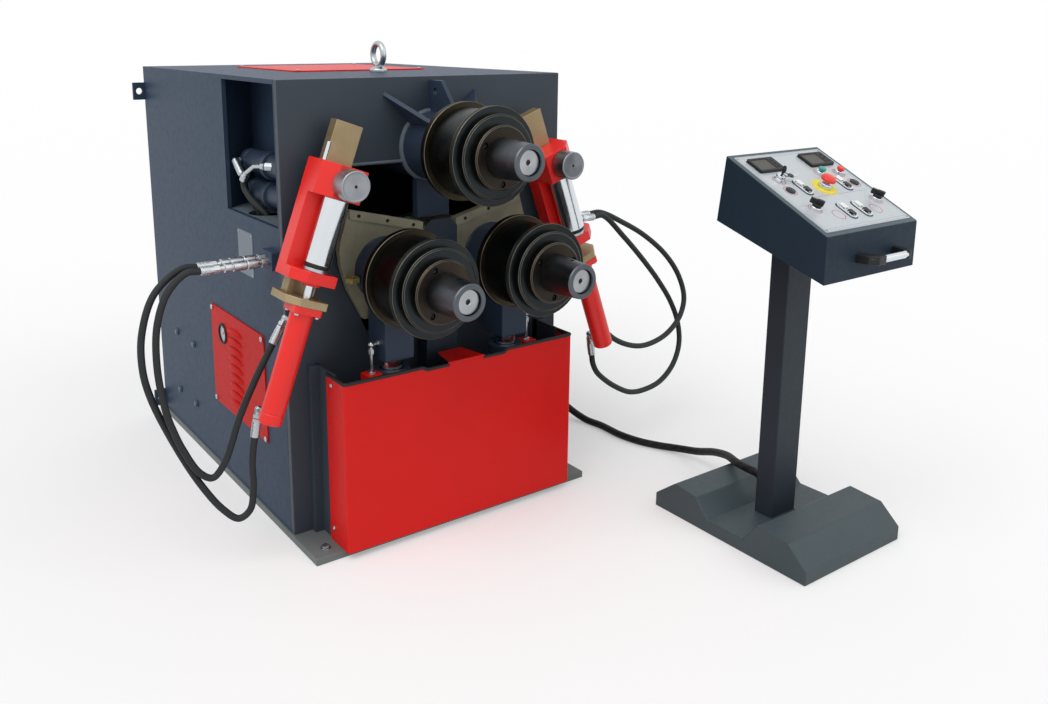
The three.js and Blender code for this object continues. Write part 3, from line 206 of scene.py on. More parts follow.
# %% [markdown]
# ## Turned steel
#
# The rolls come off a lathe and are then blackened and oiled. The tool leaves rings on a face and
# hoops on a cylinder, so the pattern needs the distance from the roll's own axis. That axis lies along
# Y, and a Mapping node moves it to zero. The real tool marks are about 0.2 mm apart, which is too fine
# to show, so they are drawn 2 mm apart. Such marks also stretch each highlight across them, so the
# shader is anisotropic, with a tangent that runs round the axis.

# %% Turned steel
tool_mark_depth = 0.05
stain_colour = "#514738"


def turned_steel(name, colour, shade, axis_place, rough=0.4, pitch=2.0, rust=0.0):
    """Lathe-turned steel about an axis along Y through axis_place, X and Z in mm."""
    material, tree, shader, place = start_material(name)
    centred = add_node(tree, "ShaderNodeMapping", {
        "Vector": place, "Location": (-axis_place[0] * MM, 0, -axis_place[1] * MM),
    })
    parts = add_node(tree, "ShaderNodeSeparateXYZ", {"Vector": centred}).outputs
    flat = add_node(tree, "ShaderNodeCombineXYZ", {"X": parts["X"], "Z": parts["Z"]})
    radius = add_node(tree, "ShaderNodeVectorMath", {0: flat}, operation="LENGTH")
    rings = add_node(tree, "ShaderNodeCombineXYZ", {"X": radius, "Y": parts["Y"]})
    marks = add_node(
        tree, "ShaderNodeTexNoise", {"Vector": rings, "Scale": 1 / (pitch * MM), "Detail": 3}
    )
    oil = add_node(
        tree, "ShaderNodeTexNoise", {"Vector": place, "Scale": 22, "Detail": 6, "Roughness": 0.65}
    )
    tone = add_node(
        tree, "ShaderNodeMix", {0: marks, 6: linear(colour), 7: linear(shade)}, data_type="RGBA"
    )
    stain = add_node(
        tree, "ShaderNodeMapRange", {"Value": oil, "From Min": 0.5, "From Max": 0.75, "To Max": rust}
    )
    stained = add_node(
        tree, "ShaderNodeMix", {0: stain, 6: tone, 7: linear(stain_colour)}, data_type="RGBA"
    )
    wear = add_node(tree, "ShaderNodeMapRange", {
        "Value": oil, "From Min": 0.3, "From Max": 0.7, "To Min": rough - 0.08, "To Max": rough + 0.12,
    })
    bump = add_node(
        tree, "ShaderNodeBump", {"Height": marks, "Distance": tool_mark_depth * MM, "Strength": 0.7}
    )
    round_axis = add_node(tree, "ShaderNodeTangent", direction_type="RADIAL", axis="Y")
    feed(tree, shader, {
        "Metallic": 1, "Anisotropic": 0.6, "Tangent": round_axis, "Base Color": stained,
        "Roughness": wear, "Normal": bump,
    })
    return material


# %% [markdown]
# ## Plated, ground and raw steel
#
# The slide bars are ground and yellow passivated, fittings are zinc plated, rods and rollers are hard
# chromed, and the swing arms are raw oiled plate. Clean metal has metallic 1 and its own colour. The
# yellow film and the oil hide some of it, so there metallic is lower. A stretched noise gives the
# direction of grinding. The stretch is by object axis, along the length of each piece.

# %% Plated and raw steel
def metal(name, colour, shade, rough=0.3, grain=(400, 400, 30), depth=0.02, cloud=12, metallic=1.0):
    """Bare or plated metal. Grain is the noise scale along X, Y and Z in 1/m."""
    material, tree, shader, place = start_material(name)
    stretched = add_node(tree, "ShaderNodeMapping", {"Vector": place, "Scale": grain})
    lines = add_node(tree, "ShaderNodeTexNoise", {"Vector": stretched, "Scale": 1, "Detail": 4})
    clouds = add_node(tree, "ShaderNodeTexNoise", {"Vector": place, "Scale": cloud, "Detail": 5})
    tone = add_node(
        tree, "ShaderNodeMix", {0: clouds, 6: linear(colour), 7: linear(shade)}, data_type="RGBA"
    )
    wear = add_node(tree, "ShaderNodeMapRange", {
        "Value": lines, "From Min": 0.3, "From Max": 0.7, "To Min": rough * 0.7, "To Max": rough * 1.4,
    })
    bump = add_node(tree, "ShaderNodeBump", {"Height": lines, "Distance": depth * MM, "Strength": 0.6})
    feed(tree, shader, {"Metallic": metallic, "Base Color": tone, "Roughness": wear, "Normal": bump})
    return material


gold_zinc = metal("yellow_zinc_steel", "#b3a382", "#877451", rough=0.42, metallic=0.7)
pad_gold = metal(
    "yellow_zinc_nut_steel", "#b5a468", "#998850", rough=0.4, grain=(120, 120, 120), metallic=0.6
)
zinc = metal("bright_zinc_steel", "#c2c8cb", "#a8aeb2", rough=0.32, grain=(90, 90, 90))
chrome = metal("hard_chrome", "#dde3e7", "#d3d9dd", rough=0.18, grain=(60, 60, 500), depth=0.004)
arm_steel = metal(
    "oiled_arm_plate", "#a5a28b", "#6f6c59", rough=0.5, grain=(60, 60, 200), depth=0.03, cloud=16,
    metallic=0.25,
)
black_steel = metal("blackened_screw_steel", "#3a3b3d", "#2c2d2f", rough=0.4, grain=(90, 90, 90))
# Lighter steel for the rolls' edge rings: partly rubbed wear, partly a painted highlight on the edges.
rubbed_and_highlit_steel = metal("rubbed_and_highlit_edge_steel", "#7d786c", "#57534a", rough=0.4, grain=(150, 150, 150))

# %% [markdown]
# ## Plastics, rubber and printed film
#
# Buttons are moulded and glossy, knobs are matt. Both are smooth, so only a very fine grain keeps them
# from looking like pure light. The hoses have a wrapped rubber cover whose weave follows the hose, so
# their pattern reads a UV map that is laid along the length.

# %% Plastic and rubber
moulding_grain = 0.6
wave_radians = 6.283


def moulded(name, colour, rough=0.3, depth=0.01):
    """Moulded plastic or rubber, with a grain of that depth in mm."""
    material, tree, shader, place = start_material(name)
    noise = add_node(
        tree, "ShaderNodeTexNoise", {"Vector": place, "Scale": 1 / (moulding_grain * MM), "Detail": 2}
    )
    dust = add_node(tree, "ShaderNodeTexNoise", {"Vector": place, "Scale": 60, "Detail": 4})
    pale = [min(1, c * 1.25 + 0.004) for c in linear(colour)[:3]] + [1]
    tone = add_node(tree, "ShaderNodeMix", {0: dust, 6: linear(colour), 7: pale}, data_type="RGBA")
    bump = add_node(tree, "ShaderNodeBump", {"Height": noise, "Distance": depth * MM, "Strength": 0.6})
    feed(tree, shader, {
        "Roughness": rough, "Specular IOR Level": 0.35, "Base Color": tone, "Normal": bump,
    })
    return material


black_plastic = moulded("black_moulded_plastic", "#141517", rough=0.38)
white_plastic = moulded("white_moulded_plastic", "#dfdfda", rough=0.32)
red_plastic = moulded("red_moulded_plastic", "#dd3d33")
green_plastic = moulded("green_moulded_lens", "#2a8f86", rough=0.22)
yellow_plastic = moulded("yellow_moulded_ring", "#e2d32a", rough=0.4)
trim_rubber = moulded("black_edge_trim", "#17181a", rough=0.6, depth=0.04)
display_glass = moulded("smoked_display_window", "#0e1013", rough=0.25)
bezel_black = moulded("black_display_bezel", "#0c0e13", rough=0.5)
blank_label = moulded("bare_label_plate", "#5f6a75", rough=0.35)
dial_white = moulded("pale_dial", "#b9c1c6")


def wrapped_rubber(name, colour, shade, wrap):
    """Hose cover. Wrap is the pitch of the cloth marks in mm, read from the hose's own UV map."""
    material, tree, shader, _ = start_material(name)
    along = add_node(tree, "ShaderNodeUVMap", uv_map="hose")
    weave = add_node(tree, "ShaderNodeTexWave", {
        "Vector": along, "Scale": 1 / (wrap * MM) / wave_radians, "Distortion": 0.6, "Detail": 2,
    }, bands_direction="DIAGONAL")
    tone = add_node(
        tree, "ShaderNodeMix", {0: weave.outputs["Fac"], 6: linear(colour), 7: linear(shade)},
        data_type="RGBA",
    )
    bump = add_node(tree, "ShaderNodeBump", {
        "Height": weave.outputs["Fac"], "Distance": 0.12 * MM, "Strength": 0.5,
    })
    feed(tree, shader, {
        "Roughness": 0.55, "Specular IOR Level": 0.2, "Base Color": tone, "Normal": bump,
    })
    return material


hose_cover = wrapped_rubber("wrapped_hose_rubber", "#282b2c", "#313536", wrap=2.0)
cable_guard = wrapped_rubber("spiral_cable_guard", "#121315", "#1e2022", wrap=9.0)
print("materials", len(bpy.data.materials))

# %% [markdown]
# ## Forms
#
# Each piece is put together from a few closed forms, in millimetres: a block, a plate with an outline,
# a turned shape and a rod. Holes are cut with Blender's exact Boolean. A Bevel then rounds every sharp
# edge, as a file, a press or a casting would, and the normals are weighted by area, so that flat faces
# stay flat and the small round edges catch the light.

# %% Closed forms in millimetres
round_sides = 72
small_sides = 32


def put(axis, first, second, along):
    """A point from its place along an axis and its two other coordinates, in X, Y, Z order."""
    if axis == "x":
        return (along, first, second)
    if axis == "y":
        return (first, along, second)
    return (first, second, along)


def about(middle, half):
    """A span that reaches as far on both sides of a middle."""
    return middle - half, middle + half


def block(x, y, z):
    """A box between two places on each axis."""
    corners = [(a, b, c) for c in z for b in y for a in x]
    faces = [(0, 2, 3, 1), (4, 5, 7, 6), (0, 1, 5, 4), (2, 6, 7, 3), (0, 4, 6, 2), (1, 3, 7, 5)]
    return corners, faces


def plate(axis, span, outline):
    """A prism with an outline of its two other coordinates."""
    count = len(outline)
    points = [put(axis, a, b, level) for level in span for a, b in outline]
    faces = [tuple(range(count))[::-1], tuple(range(count, 2 * count))]
    faces += [(i, (i + 1) % count, count + (i + 1) % count, count + i) for i in range(count)]
    return points, faces


def turned(axis, centre, profile, sides=round_sides):
    """A turned shape from a list of (place along the axis, radius). Radius 0 closes an end."""
    points, rings = [], []
    for along, radius in profile:
        start = len(points)
        count = 1 if radius == 0 else sides
        for i in range(count):
            angle = 2 * math.pi * i / sides
            points.append(put(
                axis, centre[0] + radius * math.cos(angle), centre[1] + radius * math.sin(angle), along
            ))
        rings.append((start, count))
    open_ended = profile[0][1] == 0 and profile[-1][1] == 0
    pairs = list(zip(rings, rings[1:])) + ([] if open_ended else [(rings[-1], rings[0])])
    faces = []
    for (a, many_a), (b, many_b) in pairs:
        for i in range(sides):
            j = (i + 1) % sides
            ring = [a + i % many_a, a + j % many_a, b + j % many_b, b + i % many_b]
            faces.append(tuple(dict.fromkeys(ring)))
    return points, faces


def bar(axis, span, centre, radius, sides=round_sides):
    """A round bar that lies along an axis."""
    low, high = span
    return turned(axis, centre, [(low, 0), (low, radius), (high, radius), (high, 0)], sides)


def pin(axis, span, centre, radius):
    """A thin bar, or the drill for a small hole."""
    return bar(axis, span, centre, radius, small_sides)


def ball(centre, radius, sides=24):
    steps = sides // 2
    profile = [
        (centre[2] - radius * math.cos(math.pi * i / steps), radius * math.sin(math.pi * i / steps))
        for i in range(steps + 1)
    ]
    profile[0] = (profile[0][0], 0)
    profile[-1] = (profile[-1][0], 0)
    return turned("z", centre[:2], profile, sides)


def moved(form, matrix):
    points, faces = form
    return [tuple(matrix @ Vector(p)) for p in points], faces


def mirrored(form):
    """The same form with X reversed, and its faces turned back outwards."""
    points, faces = form
    return [(-x, y, z) for x, y, z in points], [tuple(reversed(f)) for f in faces]


def strut(start, end, radius, sides=small_sides):
    """A round rod between two points."""
    a, b = Vector(start), Vector(end)
    turn = Vector((0, 0, 1)).rotation_difference(b - a).to_matrix().to_4x4()
    rod = bar("z", (0, (b - a).length), (0, 0), radius, sides)
    return moved(rod, Matrix.Translation(a) @ turn)


def rod_run(points, radius, sides=12):
    """Short overlapping rods along a list of points, with a ball at each point."""
    rods = [strut(a, b, radius, sides) for a, b in zip(points, points[1:])]
    return rods + [ball(point, radius, sides) for point in points]


def arc(centre, radius, start, end, steps):
    """Outline points of an arc, with angles in degrees."""
    angles = [math.radians(start + (end - start) * i / steps) for i in range(steps + 1)]
    return [(centre[0] + radius * math.cos(a), centre[1] + radius * math.sin(a)) for a in angles]


def rounded(x, y, radius, steps=6):
    """A rectangle's outline with round corners."""
    corners = [(x[1], y[1], 0), (x[0], y[1], 90), (x[0], y[0], 180), (x[1], y[0], 270)]
    outline = []
    for corner_x, corner_y, start in corners:
        centre = (
            corner_x - math.copysign(radius, corner_x - (x[0] + x[1]) / 2),
            corner_y - math.copysign(radius, corner_y - (y[0] + y[1]) / 2),
        )
        outline += arc(centre, radius, start, start + 90, steps)
    return outline


# %% [markdown]
# ## From forms to a finished piece
#
# A form becomes a mesh with all faces pointing out. The modifiers are applied through the evaluated
# object, so the finished piece is a plain mesh at the origin. Then it gets its material, its moving
# body, and the CAD nodes that it stands for.

# %% Meshes, cuts and finished pieces
scene_collection = bpy.context.scene.collection
bevel_angle = math.radians(32)
crease_angle = math.radians(52)


def mesh_of(name, forms, scale=1.0):
    """One mesh of several closed forms, with every form's faces turned outwards."""
    mesh = bpy.data.meshes.new(name)
    made = bmesh.new()
    for points, faces in forms:
        part = bmesh.new()
        corners = [part.verts.new(Vector(p) * scale) for p in points]
        for face in faces:
            if len(set(face)) > 2:
                part.faces.new([corners[i] for i in face])
        bmesh.ops.remove_doubles(part, verts=part.verts, dist=1e-4 * scale)
        bmesh.ops.recalc_face_normals(part, faces=part.faces)
        piece_mesh = bpy.data.meshes.new("part")
        part.to_mesh(piece_mesh)
        part.free()
        made.from_mesh(piece_mesh)
        bpy.data.meshes.remove(piece_mesh)
    made.to_mesh(mesh)
    made.free()
    return mesh


def new_object(name, mesh):
    made = bpy.data.objects.new(name, mesh)
    scene_collection.objects.link(made)
    return made


def evaluated_mesh(piece):
    graph = bpy.context.evaluated_depsgraph_get()
    return bpy.data.meshes.new_from_object(piece.evaluated_get(graph))


def apply_modifiers(piece):
    """Replaces a piece's mesh with what its modifiers make of it, and gives that mesh."""
    mesh = evaluated_mesh(piece)
    piece.modifiers.clear()
    piece.data = mesh
    return mesh


def combine(form, tools, operation):
    """Joins or cuts a form with other forms and gives the result as a form."""
    base = new_object("base", mesh_of("base", [form]))
    helpers = []
    for tool in tools:
        helper = new_object("tool", mesh_of("tool", [tool]))
        step = base.modifiers.new("step", "BOOLEAN")
        step.operation = operation
        step.solver = "EXACT"
        step.object = helper
        helpers.append(helper)
    result = evaluated_mesh(base)
    form = [tuple(v.co) for v in result.vertices], [tuple(p.vertices) for p in result.polygons]
    for used in [base] + helpers:
        bpy.data.objects.remove(used)
    return form


def cut(form, *tools):
    return combine(form, tools, "DIFFERENCE")


def join(form, *more):
    return combine(form, more, "UNION")


def round_edges(piece, width, segments):
    """Adds a live bevel. Its width is in mm."""
    rounding = piece.modifiers.new("rounding", "BEVEL")
    rounding.width = width * MM
    rounding.segments = segments
    rounding.limit_method = "ANGLE"
    rounding.angle_limit = bevel_angle


def soften(piece):
    """Applies the live modifiers and weights the normals by area."""
    mesh = apply_modifiers(piece)
    mesh.shade_smooth()
    mesh.set_sharp_from_angle(angle=crease_angle)
    weighting = piece.modifiers.new("weighting", "WEIGHTED_NORMAL")
    weighting.keep_sharp = True
    weighting.weight = 80
    apply_modifiers(piece).name = piece.name


def finish_piece(piece, material, stands_for=(), body="machine"):
    piece.data.materials.clear()
    piece.data.materials.append(material)
    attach(piece, body)
    if stands_for:
        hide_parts(*stands_for)
    return piece


def make_piece(name, forms, material, slot, stands_for=(), body="machine", bevel=1.0, segments=2):
    """A finished piece from forms in mm. Bevel is the width of its rounded edges in mm."""
    piece = new_object(name, mesh_of(name, forms, MM))
    if bevel:
        round_edges(piece, bevel, segments)
    soften(piece)
    return finish_piece(piece, material, stands_for, body)


# %% [markdown]
# ## Hoses and the control cable
#
# Two hoses feed each guide's cylinder from quick couplers on the wall, and a thick cable runs from the
# cabinet to the console's post. Each is a fixed length of something springy that leaves its fitting
# straight. The route is a short list of points with a smooth Catmull-Rom curve through them, and a
# round section is swept along it without twist. The UV map runs along the length in metres.

# %% Smooth routes and swept hoses
hose_diameter = 18
cable_diameter = 24
steps_between = 10
hose_ring = 20

cord_routes = {
    "left_upper_hose": [
        (-650.3, 50, 781), (-685, 50, 781), (-735, 47, 738), (-766, 42, 663), (-776, 32, 558),
        (-766, 18, 445), (-753, 11, 393), (-735, 3, 342), (-700, -7, 275), (-669, -11, 255),
        (-641, -17, 286), (-597, -33, 414), (-553, -46, 515), (-525.1, -50, 566.4), (-509.6, -50, 592.1),
    ],
    "left_lower_hose": [
        (-650.3, 75, 787), (-690, 75, 787), (-760, 70, 735), (-799, 60, 643), (-807, 49, 559),
        (-795, 45, 485), (-753, 31, 364), (-696, 9, 238), (-648, -14, 162), (-612, -27, 132),
        (-584, -33, 150), (-575, -40, 210), (-577, -47, 285), (-573.7, -50, 325.4), (-568.3, -50, 354.9),
    ],
    "right_upper_hose": [
        (650.3, 75, 787), (700, 75, 787), (806, 73, 740), (897, 66, 688), (987, 52, 613),
        (1043, 37, 533), (1061, 22, 454), (1035, 9, 398), (976, -3, 354), (899, -15, 332),
        (800, -27, 333), (685, -38, 378), (595, -47, 455), (545, -50, 533), (525.1, -50, 566.4),
        (509.6, -50, 592.1),
    ],
    "right_lower_hose": [
        (650.3, 50, 781), (690, 50, 781), (784, 48, 700), (881, 47, 604), (965, 52, 515),
        (1025, 50, 433), (1054, 40, 356), (1045, 20, 285), (998, 0, 222), (917, -18, 180),
        (830, -26, 169), (760, -32, 179), (692, -37, 213), (628, -43, 258), (592, -48, 292),
        (573.7, -50, 325.4), (568.3, -50, 354.9),
    ],
    "control_cable": [
        (480.3, 350, 250), (515, 350, 250), (585, 345, 222), (650, 310, 150), (712, 255, 55),
        (745, 180, 14), (757, 100, 12), (757, 4, 12), (773, -73, 12), (801, -137, 13),
        (828, -205, 20), (830, -280, 38), (808, -370, 75), (772, -455, 104), (735, -520, 118),
        (718, -575, 125), (718, -609.7, 125),
    ],
}


def smooth_route(route):
    """Points in metres on a centripetal Catmull-Rom curve through a route in mm."""
    points = [Vector(p) * MM for p in route]
    points = [2 * points[0] - points[1]] + points + [2 * points[-1] - points[-2]]
    path = []
    for a, b, c, d in zip(points, points[1:], points[2:], points[3:]):
        knots = [0.0]
        for start, end in ((a, b), (b, c), (c, d)):
            knots.append(knots[-1] + math.sqrt((end - start).length))
        for i in range(steps_between):
            t = knots[1] + (knots[2] - knots[1]) * i / steps_between

            def between(p, q, low, high):
                return p + (q - p) * ((t - low) / (high - low))

            ab = between(a, b, knots[0], knots[1])
            bc = between(b, c, knots[1], knots[2])
            cd = between(c, d, knots[2], knots[3])
            path.append(between(
                between(ab, bc, knots[0], knots[2]), between(bc, cd, knots[1], knots[3]),
                knots[1], knots[2],
            ))
    path.append(points[-2])
    return path


def sweep(name, path, radius, ring=hose_ring):
    """A closed round tube along a path, with a UV map called hose."""
    made = bmesh.new()
    layer = made.loops.layers.uv.new("hose")
    ahead = (path[1] - path[0]).normalized()
    side = ahead.orthogonal().normalized()
    rings, lengths = [], [0.0]
    for i, point in enumerate(path):
        tangent = (path[min(i + 1, len(path) - 1)] - path[max(i - 1, 0)]).normalized()
        side = (side - tangent * side.dot(tangent)).normalized()
        across = tangent.cross(side)
        rings.append([
            made.verts.new(point + (side * math.cos(angle) + across * math.sin(angle)) * radius)
            for angle in (2 * math.pi * k / ring for k in range(ring))
        ])
        if i:
            lengths.append(lengths[-1] + (point - path[i - 1]).length)
    around = 2 * math.pi * radius
    for i, (low, high) in enumerate(zip(rings, rings[1:])):
        for k in range(ring):
            n = (k + 1) % ring
            face = made.faces.new((low[k], low[n], high[n], high[k]))
            for loop, (u, v) in zip(face.loops, (
                (k, lengths[i]), (k + 1, lengths[i]), (k + 1, lengths[i + 1]), (k, lengths[i + 1])
            )):
                loop[layer].uv = (u / ring * around, v)
    made.faces.new(rings[0][::-1])
    made.faces.new(rings[-1])
    bmesh.ops.recalc_face_normals(made, faces=made.faces)
    mesh = bpy.data.meshes.new(name)
    made.to_mesh(mesh)
    made.free()
    mesh.shade_smooth()
    mesh.set_sharp_from_angle(angle=crease_angle)
    return new_object(name, mesh), lengths[-1]


for cord_name, route in cord_routes.items():
    is_cable = cord_name == "control_cable"
    diameter = cable_diameter if is_cable else hose_diameter
    path = smooth_route(route)
    hose, hose_length = sweep(f"{cord_name}_run", path, diameter * MM / 2)
    finish_piece(hose, cable_guard if is_cable else hose_cover, [cord_name])
    print(cord_name, round(hose_length, 3), "m")

# %% [markdown]
# ## Screws and bolts by Geometry Nodes
#
# Screws repeat all over the machine, so one node tree makes them all. It takes a mesh whose vertices
# are the places, and a direction stored on each vertex. A head is a short cylinder whose top face is
# inset and pushed down, which gives a socket. The number of sides makes it a round screw or a hexagon
# bolt.

# %% A node tree for screw heads
def start_tree(name, start, sizes, result):
    """A tree with a geometry input, its sizes, a finish and one geometry output."""
    tree = bpy.data.node_groups.new(name, "GeometryNodeTree")
    sockets = tree.interface
    sockets.new_socket(start, in_out="INPUT", socket_type="NodeSocketGeometry")
    for label, value in sizes.items():
        kind = "NodeSocketInt" if isinstance(value, int) else "NodeSocketFloat"
        sockets.new_socket(label, in_out="INPUT", socket_type=kind).default_value = value
    sockets.new_socket("Finish", in_out="INPUT", socket_type="NodeSocketMaterial")
    sockets.new_socket(result, in_out="OUTPUT", socket_type="NodeSocketGeometry")
    return tree, tree.nodes.new("NodeGroupInput").outputs


def end_tree(tree, instances, finish, result):
    """Makes the instances a plain mesh, which is all that can be exported, and finishes it."""
    real = add_node(tree, "GeometryNodeRealizeInstances", {"Geometry": instances})
    painted = add_node(tree, "GeometryNodeSetMaterial", {"Geometry": real, "Material": finish})
    add_node(tree, "NodeGroupOutput", {result: painted})
    return tree


def screw_tree():
    tree, given = start_tree("screw_heads", "Places", {
        "Head radius": 5 * MM, "Head height": 3 * MM, "Socket share": 0.5, "Socket depth": 2 * MM,
        "Sides": 24,
    }, "Screws")
    head = add_node(tree, "GeometryNodeMeshCylinder", {
        "Vertices": given["Sides"], "Radius": given["Head radius"], "Depth": given["Head height"],
    })
    middle = add_node(tree, "ShaderNodeMath", {0: given["Head height"], 1: 0.5}, operation="MULTIPLY")
    rise = add_node(tree, "ShaderNodeCombineXYZ", {"Z": middle})
    seated = add_node(tree, "GeometryNodeTransform", {"Geometry": head, "Translation": rise})
    rim = add_node(tree, "GeometryNodeExtrudeMesh", {
        "Mesh": seated, "Selection": head.outputs["Top"], "Offset Scale": 0.0,
    })
    narrow = add_node(tree, "GeometryNodeScaleElements", {
        "Geometry": rim, "Selection": rim.outputs["Top"], "Scale": given["Socket share"],
    })
    down = add_node(tree, "ShaderNodeMath", {0: given["Socket depth"], 1: -1.0}, operation="MULTIPLY")
    socket = add_node(tree, "GeometryNodeExtrudeMesh", {
        "Mesh": narrow, "Selection": rim.outputs["Top"], "Offset Scale": down,
    })
    facing = add_node(
        tree, "GeometryNodeInputNamedAttribute", {"Name": "facing"}, data_type="FLOAT_VECTOR"
    )
    turn = add_node(tree, "FunctionNodeAlignRotationToVector", {"Vector": facing}, axis="Z")
    spots = add_node(tree, "GeometryNodeInstanceOnPoints", {
        "Points": given["Places"], "Instance": socket, "Rotation": turn,
    })
    return end_tree(tree, spots, given["Finish"], "Screws")


screw_heads = screw_tree()


def run_tree(name, points, tree, values, directions=None):
    """Runs a node tree on a mesh of points in mm and returns a plain object."""
    mesh = bpy.data.meshes.new(name)
    mesh.from_pydata([Vector(p) * MM for p in points], [], [])
    if directions:
        facing = mesh.attributes.new("facing", "FLOAT_VECTOR", "POINT")
        for item, direction in zip(facing.data, directions):
            item.vector = direction
    piece = new_object(name, mesh)
    modifier = piece.modifiers.new("tree", "NODES")
    modifier.node_group = tree
    for item in tree.interface.items_tree:
        if item.item_type == "SOCKET" and item.name in values:
            modifier[item.identifier] = values[item.name]
    return piece


def screws(name, places, radius=5, height=3, share=0.5, depth=2, sides=24, material=zinc,
           body="machine"):
    """Screw heads at (place, direction) pairs, sizes in mm."""
    values = {
        "Head radius": float(radius * MM), "Head height": float(height * MM),
        "Socket share": float(share), "Socket depth": float(depth * MM), "Sides": sides,
        "Finish": material,
    }
    points, directions = zip(*places)
    piece = run_tree(name, points, screw_heads, values, directions)
    apply_modifiers(piece)
    round_edges(piece, 0.12 * radius, 1)
    soften(piece)
    return finish_piece(piece, material, body=body)


# %% [markdown]
# ## Base frame
#
# The base is a thick steel plate that stands out past the cabinet at the two front corners, where
# anchor bolts hold it to the floor. The column in its middle is a welded box. Its front plate and rear
# cheek carry the pin on which both swing arms turn.

# %% Base plate, column and pin
side_x = 450
cabinet_depth = 1140
cabinet_top = 1250
base_top = 20
base_half = 455
base_reach = 149
anchor_x, anchor_y = 410, -109
pin_radius = 25
pivot_z = 790
lower_z = 740
top_z = 1060
roll_x = 175
column_half = 52
column_front = 50
cheek_span = (152, 172)

column_plate = [
    (-column_half, base_top), (column_half, base_top), (column_half, pivot_z + 48),
    (column_half - 22, pivot_z + 70), (-column_half + 22, pivot_z + 70), (-column_half, pivot_z + 48),
]
foot_plate = block(about(0, base_half), (-base_reach, cabinet_depth), (0, base_top))
make_piece("base_plate", [foot_plate], worn_enamel, "base_paint", ["base_frame"], bevel=1.6)
base_forms = [
    block(about(0, column_half), (-column_front + 9, 0), (base_top, 715)),
    block(about(0, column_half), (0, cheek_span[1]), (560, 715)),
    plate("y", (-column_front, -column_front + 9), column_plate),
    block(about(0, column_half), cheek_span, (700, pivot_z + 45)),
    bar("y", (-column_front - 3, cheek_span[1]), (0, pivot_z), pin_radius),
]
make_piece("base_weldment", base_forms, base_enamel, "base_paint", bevel=1.6)
foot_bolts = [((side * anchor_x, anchor_y, base_top), (0, 0, 1)) for side in (-1, 1)]
screws("foot_washers", foot_bolts, radius=14, height=2, share=0.9, depth=0.2, sides=32)
foot_bolts = [((x, y, z + 3), up) for (x, y, z), up in foot_bolts]
screws("foot_bolts", foot_bolts, radius=10, height=6, share=0.2, depth=0.4, sides=6)

# %% [markdown]
# ## Cabinet
#
# The cabinet is bent and welded from plate, with a window in its left wall. Behind the window lies a
# recess with a shelf, where the valve barrels can be reached. The walls are thin blocks that overlap at
# the corners, the window is cut through the left one, and a bevel gives the plate its rounded edges.

# %% Walls, top and recess
wall = 12
front_plate = 20
window_y = (25, 385)
recess_back = -320
recess_rear = 485
shelf_z = 870
lug_feet = (1138, 30)
lug_height = 58
lug_hole = 11
lug_hole_y = (cabinet_depth - 20, cabinet_depth + 5)
gland_place = (350, 250)

left_wall = cut(
    block((-side_x, -side_x + wall), (front_plate, cabinet_depth), (base_top, cabinet_top)),
    block((-side_x - 5, -side_x + wall + 5), window_y, (shelf_z, cabinet_top - wall)),
)
right_wall = block((side_x - wall, side_x), (front_plate, cabinet_depth), (base_top, cabinet_top))
roof = block(about(0, side_x), (front_plate, cabinet_depth), (cabinet_top - wall, cabinet_top))
rear_wall = block(about(0, side_x), (cabinet_depth - wall, cabinet_depth), (base_top, cabinet_top))
lugs = [
    cut(
        block((-side_x - 40, -side_x), (cabinet_depth - wall, cabinet_depth), (low, low + lug_height)),
        pin("y", lug_hole_y, (-side_x - 20, low + lug_height / 2), lug_hole),
    )
    for low in lug_feet
]
gland = turned("x", gland_place, [(450, 0), (450, 17), (470, 17), (480, 14), (480, 0)], small_sides)
make_piece(
    "cabinet_walls", [join(left_wall, right_wall, roof, rear_wall, *lugs)], side_enamel,
    "side_paint", ["cabinet_shell"], bevel=2.0, segments=3,
)
make_piece("cable_gland", [gland], black_plastic, "black_plastic")

recess_outline = [
    (-side_x + 8, front_plate), (recess_back, front_plate), (recess_back, recess_rear),
    (recess_back - wall, recess_rear), (-side_x + 8, window_y[1]),
]
shelf = cut(
    plate("z", (shelf_z - wall, shelf_z), recess_outline),
    bar("z", (shelf_z - 20, shelf_z + 5), (recess_back - 60, 262), 52),
)
make_piece("recess_floor", [shelf], weld_grey, "side_paint")
recess_forms = [
    block((recess_back - wall, recess_back), (front_plate, recess_rear), (shelf_z, cabinet_top - wall)),
    plate("z", (shelf_z, cabinet_top - wall), [
        (-side_x + 8, window_y[1]), (recess_back - wall, recess_rear - wall),
        (recess_back, recess_rear), (-side_x + 8, window_y[1] + wall),
    ]),
]
make_piece("recess_lining", recess_forms, side_enamel, "side_paint")

# %% [markdown]
# ## What is fixed to the cabinet's walls
#
# Four bolt heads hold the tank's brackets from inside. A bare plate is riveted on below the recess.
# The red louvred panel covers the pump: its louvres are pressed outwards so that chips run off. A pale
# dial with a red hand lies behind a round window beside them.

# %% Wall bolts, rating plate and louvred panel
left = (-1, 0, 0)
wall_bolts = [((-side_x, y, z), left) for y, z in ((938, 357), (768, 357), (944, 146), (776, 147))]
screws("tank_washers", wall_bolts, radius=13, height=2, share=0.8, depth=0.2, sides=32,
       material=side_enamel)
screws("tank_bolts", wall_bolts, radius=9, height=8, share=0.3, depth=0.4, sides=6,
       material=weld_grey)
make_piece(
    "rating_plate", [plate("x", (-side_x - 1, -side_x + 2), rounded((206, 314), (700, 825), 5))],
    blank_label, "side_paint", bevel=0.3,
)
rivets = [((-side_x - 1, y, z), left) for y in (213, 307) for z in (707, 818)]
screws("rating_plate_rivets", rivets, radius=2.6, height=1.4, share=0.3, depth=0.2)

